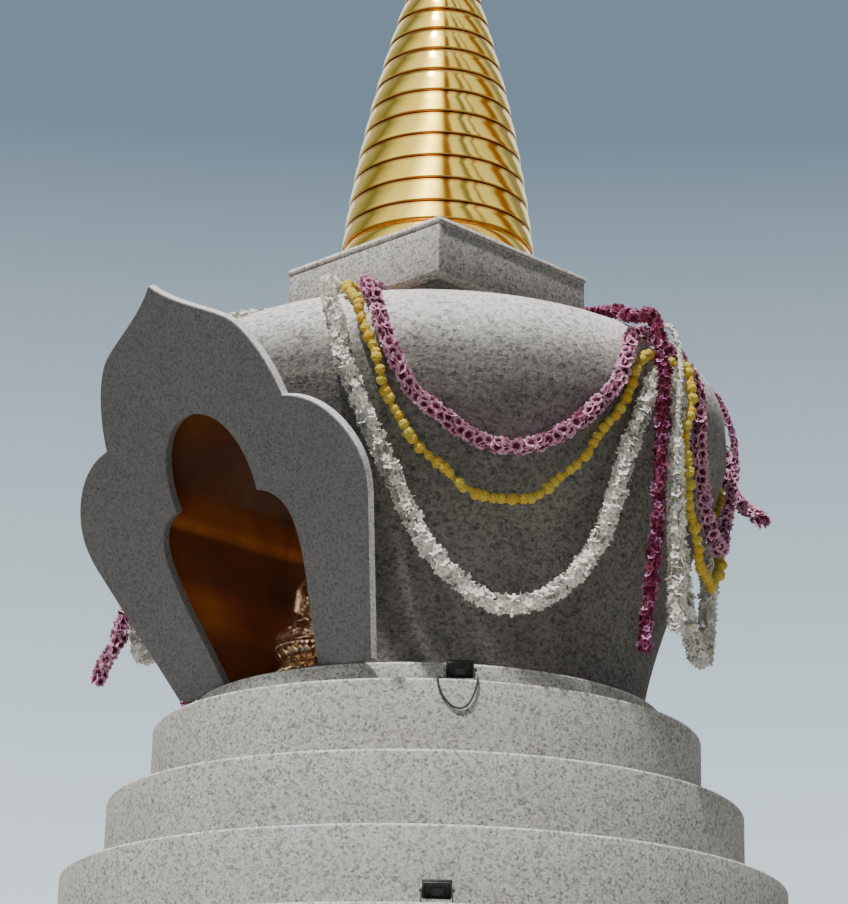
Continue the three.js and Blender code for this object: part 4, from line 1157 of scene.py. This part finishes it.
def tubeMesh(name, path, radius, sides):
    curve = bpy.data.curves.new(name, "CURVE")
    curve.dimensions = "3D"
    curve.bevel_depth = radius
    curve.bevel_resolution = sides
    curve.use_fill_caps = True
    spline = curve.splines.new("POLY")
    spline.points.add(len(path) - 1)
    spline.points.foreach_set("co", np.column_stack([path, np.ones(len(path))]).ravel())
    holder = bpy.data.objects.new(name, curve)
    bpy.context.scene.collection.objects.link(holder)
    return settled(holder)


def buildCable():
    path, length = smoothPath(cablePoints(), 0.004)
    material, tree, shader = newMaterial("cableRubber", Roughness=0.55)
    dust = addNode(tree, "TexNoise", {"Vector": objectPlace(tree), "Scale": 90.0, "Detail": 3.0}).outputs[0]
    tree.links.new(colourRamp(tree, dust, [(0.4, (0.012, 0.012, 0.012)), (0.7, (0.04, 0.038, 0.035))]),
                   shader.inputs["Base Color"])
    tree.links.new(bumpFrom(tree, dust, 0.4, 0.0004), shader.inputs["Normal"])
    piece = addPiece("upper_lamp_cable_rubber", tubeMesh("cable", path, cable["diameter"] / 2, cable["sides"]), material,
                     ["upper_lamp_cable"], 60)
    print("cable", round(length, 4))


lampCoat = lampMaterial()
for lampName, lampPlace in lampPlaces.items():
    buildLamp(lampName, lampPlace, lampCoat)
buildCable()
print("lamps made")

# Flowers

flowers = {"seed": 11}
dice = np.random.default_rng(flowers["seed"])


def template(bm, isRim):
    # A flower's corners, triangles and how near each corner is to the rim
    bmesh.ops.triangulate(bm, faces=bm.faces)
    corners = np.array([vert.co[:] for vert in bm.verts])
    triangles = np.array([[vert.index for vert in face.verts] for face in bm.faces])
    rims = np.array([isRim(vert.co) for vert in bm.verts])
    bm.free()
    return corners, triangles, rims


def petalTemplate(petals, outer, centre, notch, bead):
    # Every third corner of the rim is the gap between two petals
    bm = bmesh.new()
    bmesh.ops.create_cone(bm, cap_ends=True, segments=petals * 3, radius1=0, radius2=outer, depth=outer * 0.32,
                          matrix=Matrix.Translation((0, 0, -outer * 0.16)))
    top = [face for face in bm.faces if face.normal.z > 0.9]
    bmesh.ops.inset_individual(bm, faces=top, thickness=outer - centre * 1.5, depth=-outer * 0.16)
    if bead:
        bmesh.ops.inset_individual(bm, faces=top, thickness=centre * 0.4, depth=outer * 0.14)
    rim = sorted((vert for vert in bm.verts if vert.co.xy.length > outer * 0.9),
                 key=lambda vert: math.atan2(vert.co.y, vert.co.x))
    for index, vert in enumerate(rim):
        wave = 0.9 if index % 3 else 0.0
        share = 1 - notch * (1 - wave)
        vert.co = (vert.co.x * share, vert.co.y * share, vert.co.z - outer * 0.12 * (1 - wave))
    return template(bm, lambda co: 1.0 if co.xy.length > outer * 0.5 else 0.0)


def ruffledTemplate(outer, ruffles):
    bm = bmesh.new()
    bmesh.ops.create_uvsphere(bm, u_segments=ruffles * 2, v_segments=8, radius=outer)
    for vert in bm.verts:
        way = vert.co.normalized()
        around = math.atan2(way.y, way.x)
        level = math.asin(max(-1, min(1, way.z)))
        wave = math.cos(ruffles * around + 2.4 * level * 3) * math.cos(level * 9)
        vert.co = way * outer * (0.86 + 0.14 * wave)
    return template(bm, lambda co: (co.length / outer - 0.72) / 0.28)


def turnsAlong(path):
    # A steady frame at each point of the path: along, across, across
    along = np.gradient(path, axis=0)
    along /= np.linalg.norm(along, axis=1, keepdims=True)
    across = np.cross(along[0], [0.3, 0.2, 1.0])
    rows = []
    for way in along:
        across = across - way * np.dot(across, way)
        across /= np.linalg.norm(across)
        rows.append(across.copy())
    first = np.array(rows)
    return along, first, np.cross(along, first)


def strungFlowers(path, length, pattern, pitch, around, seat, tilt, sizes, thickness):
    # Places flowers round the thread, each facing outward with a lean of its own
    along, first, second = turnsAlong(path)
    count = int(length / pitch) * around
    marks = (np.arange(count) // around + 0.5 + dice.uniform(-0.3, 0.3, count)) / (count // around)
    marks = np.clip(marks, 0.002, 0.998) * (len(path) - 1)
    below = marks.astype(int)
    share = (marks - below)[:, None]
    above = np.minimum(below + 1, len(path) - 1)
    middle = path[below] * (1 - share) + path[above] * share
    angle = np.arange(count) * 2 * math.pi / around + dice.uniform(-0.5, 0.5, count) + (np.arange(count) // around) * 0.9
    outward = first[below] * np.cos(angle)[:, None] + second[below] * np.sin(angle)[:, None]
    facing = outward + along[below] * dice.normal(0, tilt, (count, 1)) + dice.normal(0, tilt * 0.5, (count, 3))
    facing /= np.linalg.norm(facing, axis=1, keepdims=True)
    side = np.cross(facing, dice.normal(0, 1, (count, 3)))
    side /= np.linalg.norm(side, axis=1, keepdims=True)
    other = np.cross(facing, side)
    swell = thickness(marks / (len(path) - 1))
    size = dice.uniform(*sizes, count) * swell
    corners, triangles, rims = pattern
    turned = (corners[None, :, 0, None] * side[:, None] + corners[None, :, 1, None] * other[:, None]
              + corners[None, :, 2, None] * facing[:, None]) * size[:, None, None]
    seatOut = seat * swell * dice.uniform(0.85, 1.08, count)
    points = turned + (middle + outward * seatOut[:, None])[:, None]
    faces = triangles[None] + (np.arange(count) * len(corners))[:, None, None]
    return (points.reshape(-1, 3), faces.reshape(-1, 3), np.tile(rims, count),
            np.repeat(dice.uniform(0, 1, count), len(corners)))


def keptNear(points, path, most):
    # Pulls in any corner that strays too far from the thread
    tree = kdtree.KDTree(len(path))
    for index, place in enumerate(path):
        tree.insert(place, index)
    tree.balance()
    for index, point in enumerate(points):
        nearest, _, far = tree.find(point)
        if far > most:
            points[index] = np.array(nearest) + (point - np.array(nearest)) * most / far
    return points


def flowerMaterial(name, look):
    material, tree, shader = newMaterial(name, Roughness=0.75, Specular_IOR_Level=0.25)
    rim = addNode(tree, "Attribute", attribute_name="rim").outputs["Fac"]
    tint = addNode(tree, "Attribute", attribute_name="tint").outputs["Fac"]
    petal = colourRamp(tree, rim, look["petal"])
    vary = colourRamp(tree, tint, look["tint"])
    tone = mixColour(tree, "MULTIPLY", 1.0, petal, vary)
    fine = addNode(tree, "TexNoise", {"Vector": objectPlace(tree), "Scale": 260.0, "Detail": 2.0}).outputs[0]
    shade = colourRamp(tree, fine, [(0.35, grey(0.88)), (0.65, grey(1.0))])
    tree.links.new(mixColour(tree, "MULTIPLY", 1.0, tone, shade), shader.inputs["Base Color"])
    tree.links.new(bumpFrom(tree, fine, 0.4, 0.002), shader.inputs["Normal"])
    return material


flowerLooks = {
    "white": {"petal": [(0.0, (0.62, 0.60, 0.42)), (0.2, (0.96, 0.95, 0.85)), (0.6, (1.0, 1.0, 0.96))],
              "tint": [(0, (0.5, 0.5, 0.42)), (0.06, (1, 1, 1)), (0.94, (1, 1, 1)), (1, (0.62, 0.56, 0.44))]},
    "yellow": {"petal": [(0.1, (0.52, 0.30, 0.02)), (0.7, (0.95, 0.78, 0.13))],
               "tint": [(0, (1.0, 0.78, 0.5)), (0.5, (1, 1, 1)), (1, (0.92, 1.0, 1.1))]},
    "pink": {"petal": [(0.1, (0.09, 0.006, 0.025)), (0.55, (0.70, 0.29, 0.47)), (1, (0.93, 0.62, 0.75))],
             "tint": [(0, (0.9, 0.75, 0.9)), (0.6, (1, 1, 1)), (1, (1.1, 1.1, 1.1))]},
    "maroon": {"petal": [(0.1, (0.06, 0.004, 0.014)), (0.7, (0.30, 0.032, 0.10))],
               "tint": [(0, (0.5, 0.4, 0.5)), (0.5, (1, 1, 1)), (0.7, (1.5, 3.0, 2.6)), (0.9, (2.5, 9.0, 6.0)), (1, (2.6, 12.0, 7.0))]},
}
flowerSorts = {
    "white": {"slot": "white_flowers", "core": 0.11, "pattern": petalTemplate(5, 0.024, 0.003, 0.40, False),
              "pitch": 0.021, "around": 6, "seat": 0.72, "tilt": 0.6, "sizes": (0.8, 1.12)},
    "yellow": {"slot": "yellow_flowers", "core": 0.2, "pattern": ruffledTemplate(0.027, 7),
               "pitch": 0.040, "around": 1, "seat": 0.25, "tilt": 0.8, "sizes": (0.80, 1.10)},
    "pink": {"slot": "pink_flowers", "core": 0.2, "pattern": petalTemplate(6, 0.0300, 0.0066, 0.24, True),
             "pitch": 0.036, "around": 5, "seat": 0.76, "tilt": 0.25, "sizes": (0.86, 1.05)},
    "maroon": {"slot": "maroon_flowers", "core": 0.3, "pattern": petalTemplate(6, 0.020, 0.004, 0.40, False),
               "pitch": 0.020, "around": 4, "seat": 0.72, "tilt": 0.6, "sizes": (0.75, 1.1)},
}


def swellOf(name):
    if name.startswith("garland_white"):
        return lambda share: np.interp(share, [0, 0.12, 0.18, 1], [0.80, 0.80, 1.0, 1.0])
    if name.startswith("tail_white"):
        return lambda share: np.interp(share, [0, 0.05, 0.64, 0.70, 1], [0.5, 0.36, 0.36, 1.0, 1.0])
    if name.startswith("garland_pink"):
        return lambda share: np.interp(share, [0, 0.74, 0.80, 1], [1.0, 1.0, 0.55, 0.55])
    return lambda share: np.interp(share, [0, 1], [1.0, 1.0])


def buildGarland(name, route, side, tied, diameter, materials):
    kind = name.split("_")[1]
    sort = flowerSorts[kind]
    path, length = smoothPath(garlandPoints(route, side, tied), 0.012)
    points, faces, rims, tints = strungFlowers(path, length, sort["pattern"], sort["pitch"], sort["around"],
                                               sort["seat"] * diameter / 2, sort["tilt"], sort["sizes"], swellOf(name))
    keptNear(points, path, diameter * 0.62)
    core = tubeMesh("core", path, diameter * sort["core"], 1)
    coreCorners = np.array([vert.co[:] for vert in core.vertices])
    coreFaces = [tuple(index + len(points) for index in polygon.vertices) for polygon in core.polygons]
    mesh = bpy.data.meshes.new(name)
    mesh.from_pydata(np.concatenate([points, coreCorners]).tolist(), [], faces.tolist() + coreFaces)
    for attribute, values, fill in (("rim", rims, 0.3), ("tint", tints, 0.5)):
        layer = mesh.attributes.new(attribute, "FLOAT", "POINT")
        layer.data.foreach_set("value", np.concatenate([values, np.full(len(coreCorners), fill)]))
    bpy.data.meshes.remove(core)
    piece = addPiece(name + "_flowers", mesh, materials[kind], [name], 40)
    print(name, round(length, 4), len(faces))


def buildGarlands():
    materials = {kind: flowerMaterial(kind + "Flowers", look) for kind, look in flowerLooks.items()}
    for name, (route, side, tied, diameter) in garlands.items():
        buildGarland(name, route, side, tied, diameter, materials)


buildGarlands()
print("garlands made")

# Light, sky and floor

daylight = {"sunAzimuth": 16, "sunHeight": 66, "sunPower": 4.9, "sunAngle": 2.0,
            "fillAzimuth": 222, "fillHeight": 38, "fillPower": 0.7, "fillAngle": 60,
            "skyPower": 0.16, "skyColour": (0.86, 0.92, 1.0), "backdropLow": (1.02, 1.22, 1.31),
            "backdropHigh": (0.19, 0.27, 0.36), "floorTone": (0.25, 0.25, 0.24), "floorHalf": 150}


# Share of the way round from behind, and how bright the panel there is
panels = [
    (0.0, 0.32), (0.10, 0.50), (0.24, 0.62), (0.29, 0.40), (0.345, (0.20, 0.21, 0.15)), (0.39, 0.60), (0.44, 1.15),
    (0.51, 1.45), (0.545, 2.8), (0.575, (6.6, 6.5, 5.2)), (0.605, (4.4, 4.3, 3.2)), (0.632, 1.2),
    (0.642, (0.30, 0.14, 0.06)), (0.662, (0.30, 0.14, 0.06)), (0.675, 1.1), (0.705, 1.0), (0.72, 0.25), (0.735, 0.25),
    (0.745, 1.1), (0.765, 0.9), (0.775, (0.30, 0.16, 0.08)), (0.79, 1.0),
    (0.845, 0.85), (0.87, (0.30, 0.14, 0.06)), (0.90, (0.27, 0.13, 0.06)), (0.925, 0.8), (0.96, 0.32), (1.0, 0.32),
]


def makeSun(name, azimuth, height, power, angle, colour):
    sun = bpy.data.objects.new(name, bpy.data.lights.new(name, "SUN"))
    sun.data.energy = power
    sun.data.angle = math.radians(angle)
    sun.data.color = colour
    azimuth, height = math.radians(azimuth), math.radians(height)
    way = Vector((math.cos(height) * math.sin(azimuth), -math.cos(height) * math.cos(azimuth), math.sin(height)))
    sun.rotation_euler = way.to_track_quat("Z", "Y").to_euler()
    bpy.context.scene.collection.objects.link(sun)


def makeSky():
    # Soft grey light all round, a plain backdrop, and light and dark panels that only gloss picks up
    world = bpy.data.worlds.new("sky")
    bpy.context.scene.world = world
    world.use_nodes = True
    tree = world.node_tree
    tree.nodes.clear()
    way = addNode(tree, "TexCoord").outputs["Generated"]
    x, y, z = addNode(tree, "SeparateXYZ", {0: way}).outputs
    around = addNode(tree, "Math", {0: x, 1: addNode(tree, "Math", {0: y, 1: -1.0}, operation="MULTIPLY").outputs[0]},
                     operation="ARCTAN2").outputs[0]
    share = addNode(tree, "MapRange", {0: around, 1: -math.pi, 2: math.pi}).outputs[0]
    bands = colourRamp(tree, share, [(place, tone if isinstance(tone, tuple) else grey(tone)) for place, tone in panels])
    height = addNode(tree, "MapRange", {0: z, 1: 0.88, 2: 0.99}).outputs[0]
    ringed = mixColour(tree, "MIX", height, bands, (*daylight["skyColour"], 1))
    rise = addNode(tree, "MapRange", {0: z, 1: 0.15, 2: 0.42}).outputs[0]
    backdrop = mixColour(tree, "MIX", rise, (*daylight["backdropLow"], 1), (*daylight["backdropHigh"], 1))
    power = daylight["skyPower"]
    soft = (*[tone * power for tone in daylight["skyColour"]], 1)
    seen = addNode(tree, "LightPath")
    glossy = mixColour(tree, "MIX", seen.outputs["Is Glossy Ray"], soft, ringed)
    shown = mixColour(tree, "MIX", seen.outputs["Is Camera Ray"], glossy, backdrop)
    back = addNode(tree, "Background", {"Color": shown, "Strength": 1.0})
    output = addNode(tree, "OutputWorld")
    tree.links.new(back.outputs[0], output.inputs[0])


def makeFloor():
    bm = bmesh.new()
    bmesh.ops.create_grid(bm, x_segments=1, y_segments=1, size=daylight["floorHalf"],
                          matrix=Matrix.Translation((0, 0, -0.001)))
    mesh = bpy.data.meshes.new("floor")
    bm.to_mesh(mesh)
    bm.free()
    material, tree, shader = newMaterial("floor", Base_Color=(*daylight["floorTone"], 1), Roughness=0.9)
    mesh.materials.append(material)
    floor = bpy.data.objects.new("floor", mesh)
    bpy.context.scene.collection.objects.link(floor)


makeSun("sun", daylight["sunAzimuth"], daylight["sunHeight"], daylight["sunPower"], daylight["sunAngle"],
        (1.0, 0.97, 0.92))
makeSun("fill", daylight["fillAzimuth"], daylight["fillHeight"], daylight["fillPower"], daylight["fillAngle"],
        (0.90, 0.95, 1.0))
makeSky()
makeFloor()
print("light, sky and floor made")
